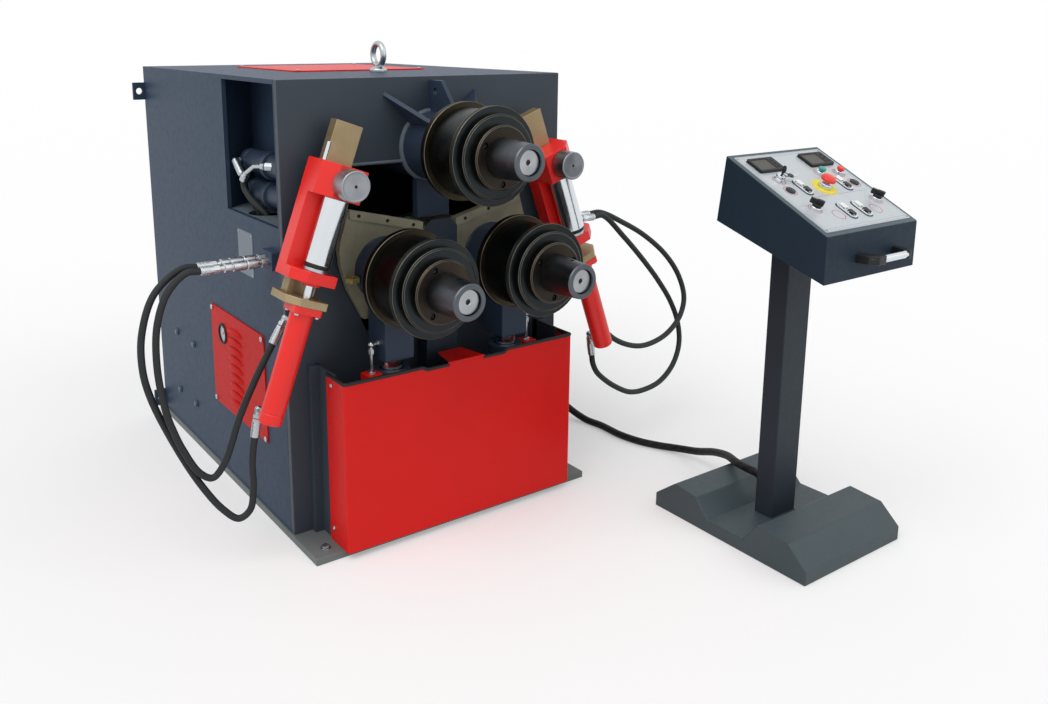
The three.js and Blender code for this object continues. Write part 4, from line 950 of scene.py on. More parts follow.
louvre_y = (153, 570)
louvre_z = (232, 547)
louvre_face = -side_x - 4
sight_place = (471, 473)
hand_tip = (454, 485)
panel_sheet = cut(
    plate("x", (louvre_face, -side_x + 2), rounded(louvre_y, louvre_z, 6)),
    bar("x", (louvre_face - 5, -side_x + 5), sight_place, 29),
)
# The panel's darker red is painted shade.
make_piece("louvred_side_panel", [panel_sheet], panel_shaded_red, "red_paint", ["louvre_panel"], bevel=0.8)
make_piece("sight_window_ring", [turned("x", sight_place, [
    (louvre_face - 5, 26), (louvre_face - 5, 30.5), (louvre_face - 2, 32), (-side_x + 1, 32),
    (-side_x + 1, 27),
])], trim_rubber, "black_plastic", bevel=0.8)
make_piece("sight_dial", [turned("x", sight_place, [
    (louvre_face + 1, 0), (louvre_face + 1, 28), (-side_x + 1, 28), (-side_x + 1, 0),
])], dial_white, "white_plastic", bevel=0.3)
make_piece("sight_dial_hand", [
    strut((louvre_face + 0.6, *sight_place), (louvre_face + 0.6, *hand_tip), 1.6, 12),
    pin("x", (louvre_face, louvre_face + 2), sight_place, 4),
], red_plastic, "red_plastic", bevel=0)
panel_screws = [((louvre_face, y, z), left) for y in (164, 558) for z in (243, 537)]
screws("louvred_panel_screws", panel_screws, radius=8, height=4)


def louvre_tree():
    """Louvres in a column: each is the upper half of a long, flat ball."""
    tree, given = start_tree("pressed_louvres", "Start", {
        "Count": 8, "Pitch": 24 * MM, "Length": 150 * MM, "Height": 12 * MM, "Rise": 10 * MM,
    }, "Louvres")
    bulge = add_node(tree, "GeometryNodeMeshUVSphere", {"Segments": 24, "Rings": 12, "Radius": 1.0})
    half_length = add_node(tree, "ShaderNodeMath", {0: given["Length"], 1: 0.5}, operation="MULTIPLY")
    size = add_node(
        tree, "ShaderNodeCombineXYZ", {"X": given["Rise"], "Y": half_length, "Z": given["Height"]}
    )
    blade = add_node(tree, "GeometryNodeTransform", {"Geometry": bulge, "Scale": size})
    place = add_node(tree, "GeometryNodeInputPosition")
    parts = add_node(tree, "ShaderNodeSeparateXYZ", {"Vector": place}).outputs
    below = add_node(
        tree, "FunctionNodeCompare", {0: parts["Z"], 1: -0.1 * MM}, data_type="FLOAT",
        operation="LESS_THAN",
    )
    level = add_node(tree, "ShaderNodeCombineXYZ", {"X": parts["X"], "Y": parts["Y"]})
    hood = add_node(tree, "GeometryNodeSetPosition", {
        "Geometry": blade, "Selection": below, "Position": level,
    })
    merged = add_node(tree, "GeometryNodeMergeByDistance", {"Geometry": hood, "Distance": 0.05 * MM})
    step = add_node(tree, "ShaderNodeCombineXYZ", {"Z": given["Pitch"]})
    column = add_node(tree, "GeometryNodeMeshLine", {"Count": given["Count"], "Offset": step})
    inside = add_node(tree, "GeometryNodeInstanceOnPoints", {"Points": column, "Instance": merged})
    placed = add_node(
        tree, "GeometryNodeInstanceOnPoints", {"Points": given["Start"], "Instance": inside}
    )
    return end_tree(tree, placed, given["Finish"], "Louvres")


louvres = run_tree(
    "pressed_louvres", [(louvre_face + 1, 373, 272)], louvre_tree(),
    {"Count": 9, "Pitch": 28 * MM, "Length": 116 * MM, "Height": 13 * MM, "Rise": 11 * MM,
     "Finish": panel_shaded_red},
)
soften(louvres)
finish_piece(louvres, panel_shaded_red)

# %% [markdown]
# ## Hatch and lifting eye
#
# A red hatch with four screws closes the roof over the valves. The lifting eye is a forged ring on a
# collar, screwed into the roof over the machine's centre of mass, so it is made as a torus that runs
# into a flared collar.

# %% Hatch and lifting eye
hatch_x = (-210, 240)
hatch_y = (420, 900)
make_piece(
    "roof_hatch", [plate("z", (cabinet_top - 1, cabinet_top + 4), rounded(hatch_x, hatch_y, 12))],
    red_coat, "red_paint", ["top_hatch"], bevel=0.8,
)
hatch_screws = [((x, y, cabinet_top + 4), (0, 0, 1)) for x in (-194, 224) for y in (436, 884)]
screws("hatch_screws", hatch_screws, radius=7)

eye_place = (22, 335)
eye_ring = 32
eye_wire = 9


def torus_form(centre, ring, wire, sides=48, wire_sides=18):
    """A ring that stands in the plane across X."""
    points, faces = [], []
    for i in range(sides):
        a = 2 * math.pi * i / sides
        for k in range(wire_sides):
            b = 2 * math.pi * k / wire_sides
            reach = ring + wire * math.cos(b)
            points.append((
                centre[0] + wire * math.sin(b), centre[1] + reach * math.sin(a),
                centre[2] + reach * math.cos(a),
            ))
    for i in range(sides):
        for k in range(wire_sides):
            n, m = (i + 1) % sides, (k + 1) % wire_sides
            faces.append((
                i * wire_sides + k, i * wire_sides + m, n * wire_sides + m, n * wire_sides + k
            ))
    return points, faces


eye_collar = turned("z", eye_place, [
    (cabinet_top, 0), (cabinet_top, 26), (cabinet_top + 6, 26), (cabinet_top + 10, 23),
    (cabinet_top + 14, 15), (cabinet_top + 19, 9), (cabinet_top + 24, 0),
])
eye_centre = (*eye_place, cabinet_top + 51)
make_piece(
    "forged_lifting_eye", [eye_collar, torus_form(eye_centre, eye_ring, eye_wire)], zinc,
    "zinc_steel", ["lifting_eye"], bevel=0.8,
)

# %% [markdown]
# ## Front plate and quill
#
# The front plate carries all forces of bending, so it is the thickest plate. Its opening with round
# upper corners lets the arms swing. The quill that holds the upper roll's bearings is a thick tube,
# welded in and braced by three gussets. The weld shows as a small bead, made as a torus in the corner.

# %% Front plate, quill and gussets
opening_x = 300
opening_top = 1022
opening_sill = 560
opening_corner = 55
opening_shoulder = 790
opening_foot = 215
quill_radius = 95
quill_front = -150
gusset_half = 6
gusset_reach = -128
edge_bead_radius = 4.5

opening = plate("y", (-5, front_plate + 5), [
    (opening_foot, opening_sill), (opening_x, opening_shoulder),
    *arc((opening_x - opening_corner, opening_top - opening_corner), opening_corner, 0, 90, 12),
    *arc((opening_corner - opening_x, opening_top - opening_corner), opening_corner, 90, 180, 12),
    (-opening_x, opening_shoulder), (-opening_foot, opening_sill),
])
front_sheet = cut(block(about(0, side_x), (0, front_plate), (base_top, cabinet_top)), opening)
make_piece("front_plate", [front_sheet], front_enamel, "front_paint", ["front_panel"],
           bevel=2.0, segments=3)

edge_left = arc((opening_corner - opening_x, opening_top - opening_corner), opening_corner, 180, 90, 8)
edge_path = [(x, -1, z + 2) for x, z in [*edge_left, (-88, opening_top)]]
edge_bead = rod_run(edge_path, edge_bead_radius)
edge_bead += [mirrored(form) for form in edge_bead]
make_piece("opening_edge_bead", edge_bead, weld_grey, "front_paint", bevel=0)
make_piece("throat_tie", [block(about(0, column_half), (-8, front_plate), (862, 970))],
           blue_grey_enamel, "front_paint", bevel=1.5)

quill_root = top_z + quill_radius - 8
upright_gusset = cut(
    plate("x", about(0, gusset_half), [
        (1, quill_root), (gusset_reach, quill_root), (gusset_reach, quill_root + 14),
        (-60, top_z + 180), (1, top_z + 180),
    ]),
    pin("x", (-20, 20), (-30, top_z + 150), 9),
)


def radial_gusset(angle):
    """A gusset at an angle above the horizontal, in degrees."""
    inner = quill_radius - 7
    wedge = plate("x", about(0, gusset_half), [
        (1, inner), (gusset_reach, inner), (gusset_reach, inner + 14), (1, 210),
    ])
    turn = Matrix.Rotation(math.radians(90 - angle), 4, "Y")
    return moved(wedge, Matrix.Translation((0, 0, top_z)) @ turn)


quill_tube = turned("y", (0, top_z), [
    (quill_front, 42), (quill_front, quill_radius - 10), (quill_front + 3, quill_radius),
    (300, quill_radius), (300, 42),
])
weld_bead = turned("y", (0, top_z), [
    (2, quill_radius - 2), (-9, quill_radius - 2), (-8, quill_radius + 3), (-4, quill_radius + 7),
    (2, quill_radius + 9),
])
drive = bar("y", (300, 410), (0, top_z), 62)
make_piece(
    "quill_weldment",
    [quill_tube, drive, upright_gusset, radial_gusset(45), radial_gusset(135)],
    blue_grey_enamel, "front_paint", bevel=1.2,
)
make_piece("quill_weld_bead", [weld_bead], weld_grey, "front_paint", bevel=0.8)

# %% [markdown]
# ## The valve barrels in the recess
#
# Two hydraulic barrels lie one above the other behind the window. Each has an end cap with a groove.
# From two zinc fittings, small hoses go down through the hole in the shelf. They are fixed to the
# object at both ends and never move, so they are pieces of the machine.

# %% Recess barrels, fittings and small hoses
barrel_x = -370
barrels = ((1005, 400), (922, 365))
valve_hose_radius = 8.5
far_elbow = (-424, 376, 1007)
near_bend = (-418, 250, 1004)
near_knee = (-427, 286, 983)
near_end, far_end = (-430, 305, 961), (-424, 334, 976)


def valve_barrel(z, end):
    return turned("y", (barrel_x, z), [
        (2, 0), (2, 30), (44, 30), (46, 33), (212, 33), (214, 41), (236, 41), (238, 33),
        (end - 34, 33), (end - 32, 30.5), (end - 28, 30.5), (end - 26, 33), (end - 2, 33), (end, 31),
        (end, 13), (end - 5, 12), (end - 5, 0),
    ])


make_piece("valve_barrels", [valve_barrel(z, end) for z, end in barrels], blue_grey_enamel,
           "blue_grey_paint", bevel=0.8)
fittings = [
    strut((-384, 382, 1006), (-412, 378, 1007), 9, 6), strut((-400, 379, 1006), far_elbow, 7.5),
    ball(far_elbow, 9), strut(far_elbow, far_end, 11), ball(far_end, 11),
    strut((-392, 172, 1009), (-410, 190, 1009), 12, 6), strut((-410, 192, 1009), (-414, 206, 1009), 9.5),
    strut((-413, 204, 1009), near_bend, 6.5), ball(near_bend, 6.5),
    strut(near_bend, near_knee, 6.5), ball(near_knee, 6.5),
    strut(near_knee, (-428, 294, 975), 9), strut((-428, 292, 977), near_end, 11.5),
]
make_piece("valve_elbows", fittings, zinc, "zinc_steel", bevel=0.7)


def fixed_hose(name, route):
    hose, length = sweep(name, smooth_route(route), valve_hose_radius * MM, ring=16)
    finish_piece(hose, hose_cover)
    print(name, round(length, 3), "m")


fixed_hose("valve_hose_far", [
    far_end, (-422, 320, 952), (-414, 322, 920), (-400, 312, 890), (-391, 300, 860), (-386, 290, 800),
    (-382, 285, 720),
])
fixed_hose("valve_hose_near", [
    near_end, (-430, 300, 940), (-424, 274, 914), (-408, 244, 886), (-394, 228, 862), (-386, 236, 800),
    (-380, 250, 700),
])

# %% [markdown]
# ## Front cover
#
# The cover is one red sheet bent into a box without a back. Its upper edge is protected by a push-on
# rubber trim that follows the cut, dips at both sides of the middle, and stops at the flap that is bent
# back over the column. Screws hold its side flanges to two angle posts.

# %% Posts, cover, flap and trim
cover_side = 375
cover_front = -175
cover_top = 490
cover_sheet = 4
flap_half = 57
dip_start, dip_end, dip_depth = flap_half + 84, flap_half + 70, 8
post_outer, post_inner, post_leg = 396, 370.7, 364.7
post_front = -110
post_z = (base_top, cover_top + 8)

for side in (-1, 1):
    post_forms = [
        block(sorted((side * post_outer, side * post_leg)), (-20, 1), post_z),
        block(sorted((side * post_inner, side * post_leg)), (post_front, 1), post_z),
    ]
    make_piece(f"cover_post_{'left' if side < 0 else 'right'}", post_forms, front_enamel, "front_paint")


def folded_sheet(points, thickness):
    """Outline of a sheet that follows a list of points, with mitred corners."""
    def offset(i):
        a, b, c = (Vector(points[max(i - 1, 0)]), Vector(points[i]),
                   Vector(points[min(i + 1, len(points) - 1)]))
        normals = [Vector((-(q - p).y, (q - p).x)).normalized() for p, q in ((a, b), (b, c)) if p != q]
        middle = sum(normals, Vector((0, 0))).normalized()
        return b + middle * thickness / middle.dot(normals[0])
    return [tuple(p) for p in points] + [tuple(offset(i)) for i in reversed(range(len(points)))]


bend = 7
cover_rear = -70
cover_line = [
    (-cover_side, cover_rear),
    *arc((-cover_side + bend, cover_front + bend), bend, 180, 270, 5),
    *arc((cover_side - bend, cover_front + bend), bend, -90, 0, 5),
    (cover_side, cover_rear),
]
cover_shell = plate("z", (base_top, cover_top), folded_sheet(cover_line, cover_sheet))
edge_dip = [
    plate("y", (cover_front - 5, cover_front + 20), [
        (side * (flap_half + 3), cover_top - dip_depth), (side * dip_end, cover_top - dip_depth),
        (side * dip_start, cover_top + 5), (side * (flap_half + 3), cover_top + 5),
    ])
    for side in (-1, 1)
]
cover_shell = cut(cover_shell, *edge_dip)
flap = plate("z", (cover_top - cover_sheet, cover_top), [
    (-flap_half, cover_front + 1), (flap_half, cover_front + 1), (flap_half - 8, cover_front + 40),
    (42, cover_front + 82), (38, cover_front + 90), (-38, cover_front + 90), (-42, cover_front + 82),
    (-flap_half + 8, cover_front + 40),
])
make_piece("front_cover_sheet", [cover_shell, flap], red_coat, "red_paint", ["front_cover"],
           bevel=1.2, segments=3)

trim_half = 5
trim_forms = []
mid = cover_sheet / 2
for side in (-1, 1):
    trim_forms += rod_run([
        (side * (cover_side - mid), cover_rear - 3, cover_top),
        (side * (cover_side - mid), cover_front + bend, cover_top),
        (side * (cover_side - bend), cover_front + mid, cover_top),
        (side * dip_start, cover_front + mid, cover_top),
        (side * dip_end, cover_front + mid, cover_top - dip_depth),
        (side * (flap_half + 3), cover_front + mid, cover_top - dip_depth),
    ], trim_half)
make_piece("cover_edge_trim", trim_forms, trim_rubber, "black_plastic", bevel=0)
cover_screws = [
    ((side * cover_side, y, z), (side, 0, 0)) for side in (-1, 1) for y, z in ((-96, 62), (-102, 468))
]
screws("cover_screws", cover_screws, radius=6)

# %% [markdown]
# ## The three rolls
#
# A roll is a pack of turned rings on a keyed shaft, pressed together by a tapered nut. Each ring is a
# turned shape with small chamfers, because that is how the real one is made. Handling rubs the black
# off the sharpest edges, and these edges catch the light, so each of them gets a very thin ring of
# lighter steel: partly rubbed steel, partly a painted highlight. The finish's rings have to be centred
# on each roll's own axis, so there is one material for each roll.

# %% Rolls
roll_places = {"top": (0, top_z), "left": (-roll_x, lower_z), "right": (roll_x, lower_z)}
screw_turns = {"top": 28, "left": -4, "right": 26}
disc_front, disc_rear, disc_radius = -175, -155, 131
flange_front, flange_rear, flange_radius = -302, -288, 127.5
body_radius = 116
step_front, step_radius = -320, 108.5
hub_face, hub_radius = -340, 82.5
screw_ring, screw_seat = 66, -331
nut_tip = -450
shaft_tip, shaft_rear = -442, 275
thread_turns, thread_pitch = 7, 2.4


def make_roll(name, centre):
    body = f"{name}_roll"
    x, z = centre
    dark = turned_steel(f"{name}_roll_steel", "#373c3e", "#24282a", centre, rough=0.38, rust=0.3)
    worn = turned_steel(f"{name}_disc_steel", "#474135", "#353026", centre, rough=0.42, rust=0.4)
    hub = turned_steel(f"{name}_hub_steel", "#3e3832", "#2d2925", centre, rust=0.3)
    bright = turned_steel(f"{name}_shaft_steel", "#b0b3b5", "#9a9da0", centre, rough=0.34, pitch=1.2)
    nut_steel = turned_steel(f"{name}_nut_steel", "#666c72", "#4c5156", centre, rough=0.34, rust=0.2)

    def ring(profile, sides=round_sides):
        return turned("y", centre, profile, sides)

    def roll_piece(part, forms, material, slot="roll_steel", stands_for=(), **rounding):
        make_piece(f"{name}_roll_{part}", forms, material, slot, stands_for, body, **rounding)

    roll_piece("rear_disc", [ring([
        (disc_front, 60), (disc_front, disc_radius), (disc_rear, disc_radius), (disc_rear, 60),
    ])], worn, stands_for=[f"{name}_rear_disc"], bevel=2.0, segments=3)
    roll_piece("body", [ring([
        (flange_rear, 60), (flange_rear, body_radius), (-284, body_radius), (-283, 113.5),
        (-280, 113.5), (-279, body_radius), (disc_front, body_radius), (disc_front, 60),
    ])], dark, bevel=0.8)
    roll_piece("flange", [ring([
        (flange_front, 100), (flange_front, flange_radius), (-296.5, flange_radius), (-295.5, 126),
        (-294.5, 126), (-293.5, flange_radius), (flange_rear, flange_radius), (flange_rear, 60),
        (flange_front + 2, 60),
    ])], dark, stands_for=[f"{name}_front_disc"], bevel=1.2)
    roll_piece("step_ring", [ring([
        (step_front, 70), (step_front, 104), (-317, step_radius), (-301, step_radius), (-301, 70),
    ])], dark)
    # Thin lighter rings on the sharpest edges: partly rubbed steel, partly a painted highlight.
    rims = [[(y - t, r), (y, r + t), (y + t, r), (y, r - t)] for y, r, t in (
        (-174.6, 130.4, 1.1), (-301.6, 127.0, 0.9), (-288.4, 127.0, 0.7), (-283.6, 115.7, 0.6),
        (-317.2, 108.2, 0.7), (-319.8, 104.0, 0.6), (-336.2, 82.1, 0.7), (-339.8, 79.0, 0.5),
    )]
    roll_piece("rims", [ring(rim) for rim in rims], rubbed_and_highlit_steel, bevel=0)
    sockets = [
        (x + screw_ring * math.cos(a), z + screw_ring * math.sin(a))
        for a in (math.radians(screw_turns[name] + 120 * i) for i in range(3))
    ]
    hub_disc = cut(
        ring([
            (hub_face, 40.5), (hub_face, 79), (hub_face + 4, hub_radius), (-318, hub_radius),
            (-318, 40.5),
        ]),
        *[pin("y", (hub_face - 5, screw_seat), place, 8.5) for place in sockets],
    )
    roll_piece("hub_disc", [hub_disc], hub)
    heads = [((px, screw_seat, pz), (0, -1, 0)) for px, pz in sockets]
    screws(f"{name}_roll_hub_screws", heads, radius=7.6, height=5, share=0.52, depth=3.5,
           material=black_steel, body=body)
    nut = cut(
        ring([
            (nut_tip, 32.8), (nut_tip, 44), (nut_tip + 3, 46.5), (-346, 52), (-340.3, 52),
            (-340.3, 32.8),
        ]),
        pin("z", (z, z + 70), (x, nut_tip + 44), 6),
        pin("x", (x + 10, x + 70), (nut_tip + 44, z), 6),
    )
    roll_piece("nut", [nut], nut_steel, stands_for=[f"{name}_shaft_nut"], bevel=0.8)
    thread = []
    for i in range(thread_turns):
        start = shaft_tip + i * thread_pitch
        thread += [(start + thread_pitch / 2, 31.3), (start + thread_pitch, 32.5)]
    shaft = cut(
        ring([
            (shaft_rear, 0), (shaft_rear, 38), (shaft_rear - 3, 40), (hub_face, 40), (hub_face, 32.5),
            *reversed(thread), (shaft_tip, 30.5), (shaft_tip, 0),
        ]),
        ring([(-446, 0), (-446, 9), (-442, 8), (-440, 6), (-430, 6), (-430, 0)], small_sides),
    )
    roll_piece("centre", [pin("y", (-438, -431), centre, 5.8)], black_steel, bevel=0)
    roll_piece("shaft", [shaft], bright, "ground_steel", [f"{name}_shaft"], bevel=0.6)


for roll_name, roll_place in roll_places.items():
    make_roll(roll_name, roll_place)
print("rolls", len(roll_places))

# %% [markdown]
# ## Swing arms
#
# An arm is flame-cut from plate, with the boss and the bearing housing welded through it. A bolted
# clamp bar closes its top edge. The right arm is the mirror image of the left one, apart from its
# knuckle, which sits behind the other on the common pin. So the forms are made once for the left side,
# and a mirror function reverses X and turns the faces back outwards.

# %% Swing arms
arm_reach = 147
arm_front = -40
plate_span = (-34, -14)
arm_axis = (-roll_x, lower_z)
arm_shares = [
    (-0.7, 1.17), (-0.81, 0.8), (-0.875, 0.6), (-0.9, 0.4), (-0.875, 0.16), (-0.82, -0.05),
    (-0.73, -0.33), (-0.44, -0.9), (0, -0.9), (0.374, -0.61),
]
inner_edge = -column_half - 2
through_arm = (-160, 298)
shaft_bore = 41
boss_front = -151.7
pad_y = -48
grease_place = (-238, 788)


def handed(forms, side):
    """Forms for the left side, mirrored when the side is the right one."""
    return forms if side == "left" else [mirrored(form) for form in forms]


def side_piece(side, name, forms, *finish, **rest):
    """A piece of the left or the right side, from forms for the left one."""
    make_piece(f"{side}_{name}", handed(forms, side), *finish, **rest)


def make_arm(side, knuckle):
    body = f"{side}_arm"
    outer = [(arm_axis[0] + a * arm_reach, arm_axis[1] + b * arm_reach) for a, b in arm_shares]
    face = outer + [(inner_edge, pivot_z - 90), (inner_edge, pivot_z + 66)]
    top_left, top_right = outer[0], (inner_edge, pivot_z + 66)
    slab = cut(plate("y", plate_span, face), bar("y", through_arm, arm_axis, 60))
    along = Vector(top_right) - Vector(top_left)
    bar_bolts = [
        tuple(Vector(top_left) + along * share + Vector((0, -12))) for share in (0.12, 0.5, 0.86)
    ]
    clamp_bar = plate("y", (arm_front, plate_span[0]), [
        top_left, top_right, (top_right[0], top_right[1] - 25), (top_left[0], top_left[1] - 25),
    ])
    boss = cut(turned("y", arm_axis, [
        (boss_front, shaft_bore), (boss_front, 80), (boss_front + 5, 85), (-40, 85), (-34, 90),
        (-30, 90), (-30, shaft_bore),
    ]), bar("y", through_arm, arm_axis, shaft_bore))
    housing = turned("y", arm_axis, [
        (-20, shaft_bore), (-20, 75), (294, 75), (300, 70), (300, shaft_bore),
    ])
    motor = bar("y", (300, 400), arm_axis, 55)
    away = Vector((arm_axis[0], arm_axis[1] - pivot_z))
    across = Vector((away.y, -away.x)).normalized() * 38
    pivot = Vector((0, pivot_z))
    web = plate("y", knuckle, [
        pivot + across, Vector(arm_axis) + across, Vector(arm_axis) - across, pivot - across,
    ])
    knuckle_ring = turned("y", (0, pivot_z), [
        (knuckle[0], 25.5), (knuckle[0], 45), (knuckle[1], 45), (knuckle[1], 25.5),
    ])
    through = (knuckle[0] - 5, knuckle[1] + 5)
    web = cut(web, bar("y", through, (0, pivot_z), 30), bar("y", through, arm_axis, 45))
    side_piece(side, "arm_boss", [boss], blue_grey_enamel, "blue_grey_paint", body=body, bevel=1.4)
    forms = [slab, clamp_bar, housing, motor, web, knuckle_ring]
    side_piece(side, "arm_weldment", forms, arm_steel, "arm_steel", [f"{side}_swing_arm"], body,
               bevel=1.4)
    pad_x, pad_z = arm_axis[0] - 0.7 * arm_reach, arm_axis[1] - 0.14 * arm_reach
    nut_pad = cut(
        bar("z", (pad_z, pad_z + 13), (pad_x, pad_y), 22, 6),
        pin("z", (pad_z - 2, pad_z + 15), (pad_x, pad_y), 8),
    )
    side_piece(side, "arm_nut_pad", [nut_pad], pad_gold, "gold_zinc", body=body)
    pad_screw = [pin("z", (pad_z + 1, pad_z + 7), (pad_x, pad_y), 7.6)]
    side_piece(side, "arm_pad_screw", pad_screw, black_steel, "roll_steel", body=body, bevel=0.4)
    nipple = [turned("y", grease_place, [
        (plate_span[0], 0), (plate_span[0], 6), (-40, 6), (-41, 3.5), (-47, 3.5), (-49, 5), (-52, 4),
        (-53, 0),
    ], small_sides)]
    side_piece(side, "grease_nipple", nipple, yellow_plastic, "gold_zinc", body=body, bevel=0)
    sign = 1 if side == "left" else -1
    heads = [((sign * a, arm_front, b), (0, -1, 0)) for a, b in bar_bolts]
    screws(f"{side}_clamp_bar_screws", heads, radius=4.8, height=2, share=0.55,
           material=black_steel, body=body)


make_arm("left", (-40, 54))
make_arm("right", (56, 150))

# %% [markdown]
# ## Lift cylinders
#
# A cylinder under each arm pushes a flat-topped head against the round boss. Beside it stands a
# position sensor: its rod is tied to the head by a stud and a ball joint, so it rises with the head.
# Where rod and barrel meet there is a gland with a wiper.

# %% Lift heads, cylinders and sensors
head_x = (-234, -146)
head_y = (-140, -45)
head_z = (510.5, 654.5)
lift_x, lift_y = -190, -92.5
lift_barrel_top = 480
sensor_place = (-258, -105)
sensor_half = 22.5
stud_z = head_z[1] - 96


def make_lift(side):
    lift_body = f"{side}_lift"
    head = [block(head_x, head_y, head_z)]
    side_piece(side, "lift_block", head, blue_grey_enamel, "blue_grey_paint",
               [f"{side}_lift_head"], lift_body, bevel=4.0, segments=3)
    rod = [bar("z", (head_z[0] - 205, head_z[0] + 2), (lift_x, lift_y), 29.5)]
    side_piece(side, "lift_rod", rod, chrome, "chrome", body=lift_body, bevel=0.5)
    sensor_x, sensor_y = sensor_place
    joint = [
        strut((sensor_x, sensor_y, stud_z), (head_x[0] + 3, sensor_y, stud_z), 5),
        ball((sensor_x, sensor_y, stud_z), 9),
        pin("z", (stud_z - 190, stud_z), sensor_place, 4.6),
        bar("z", (stud_z - 26, stud_z - 12), sensor_place, 8, 6),
        bar("x", (head_x[0] - 6, head_x[0] + 1), (sensor_y, stud_z), 9, 6),
    ]
    side_piece(side, "sensor_rod", joint, zinc, "zinc_steel", body=lift_body, bevel=0.6)
    barrel = [turned("z", (lift_x, lift_y), [
        (base_top, 0), (base_top, 50), (lift_barrel_top - 36, 50), (lift_barrel_top - 34, 47.5),
        (lift_barrel_top - 30, 47.5), (lift_barrel_top - 28, 50), (lift_barrel_top, 50),
        (lift_barrel_top, 33), (lift_barrel_top - 6, 31), (lift_barrel_top - 300, 31),
        (lift_barrel_top - 300, 0),
    ])]
    side_piece(side, "lift_barrel", barrel, blue_grey_enamel, "blue_grey_paint",
               [f"{side}_lift_cylinder"], bevel=1.2)
    sensor = [cut(
        block(about(sensor_x, sensor_half), about(sensor_y, sensor_half), (300, lift_barrel_top)),
        pin("z", (340, 490), sensor_place, 6.4),
    )]
    side_piece(side, "position_sensor", sensor, red_coat, "red_paint", bevel=3.0)
    wiper = [turned("z", sensor_place, [(479, 6), (479, 11), (484, 10), (486, 6)], small_sides)]
    side_piece(side, "sensor_wiper", wiper, zinc, "zinc_steel", bevel=0.4)


for side in ("left", "right"):
    make_lift(side)

# %% [markdown]
# ## Side guides
#
# Each guide is a slide that leans 20 degrees towards the rolls. A red carriage runs on a gold slide
# bar, and carries a long chromed roller and a disc roller that steer the ring. A cylinder below the
# slide's foot moves it. All is modelled upright about the disc roller's axis and then leaned, as it
# would be drawn on its own sheet, because every edge is square in that frame.

# %% Guide forms and their lean
guide_place = (-342, 0, 1000)
guide_lean = math.radians(20)
lean = Matrix.Translation(guide_place) @ Matrix.Rotation(guide_lean, 4, "Y")
slide_face = -75
carriage_out = -64
carriage_in = 51
guide_front = -156
chamfer_y = -120
chamfer_x = -28
web_front = -89.3
top_block = (-42, 43)
bottom_block = (-259, -230)
roller_y = -125
roller_radius, roller_bore = 33, 10.5
ram_place = (2, -118)
ram_bore = 11.6
foot_z = -319


def guide_piece(side, name, forms, *finish, **rest):
    """A piece of the left or the right guide, from forms for the left one before it leans."""
    side_piece(side, f"guide_{name}", [moved(form, lean) for form in forms], *finish, **rest)


def leaned_place(place, facing, side):
    """A screw's place and direction, leaned and, for the right side, mirrored."""
    at, to = lean @ Vector(place), lean.to_3x3() @ Vector(facing)
    sign = 1 if side == "left" else -1
    return (sign * at.x, at.y, at.z), (sign * to.x, to.y, to.z)


def carriage_block(span):
    return plate("z", span, [
        (carriage_out, slide_face - 0.3), (carriage_out, chamfer_y), (chamfer_x, guide_front),
        (carriage_in, guide_front), (carriage_in, slide_face - 0.3),
    ])


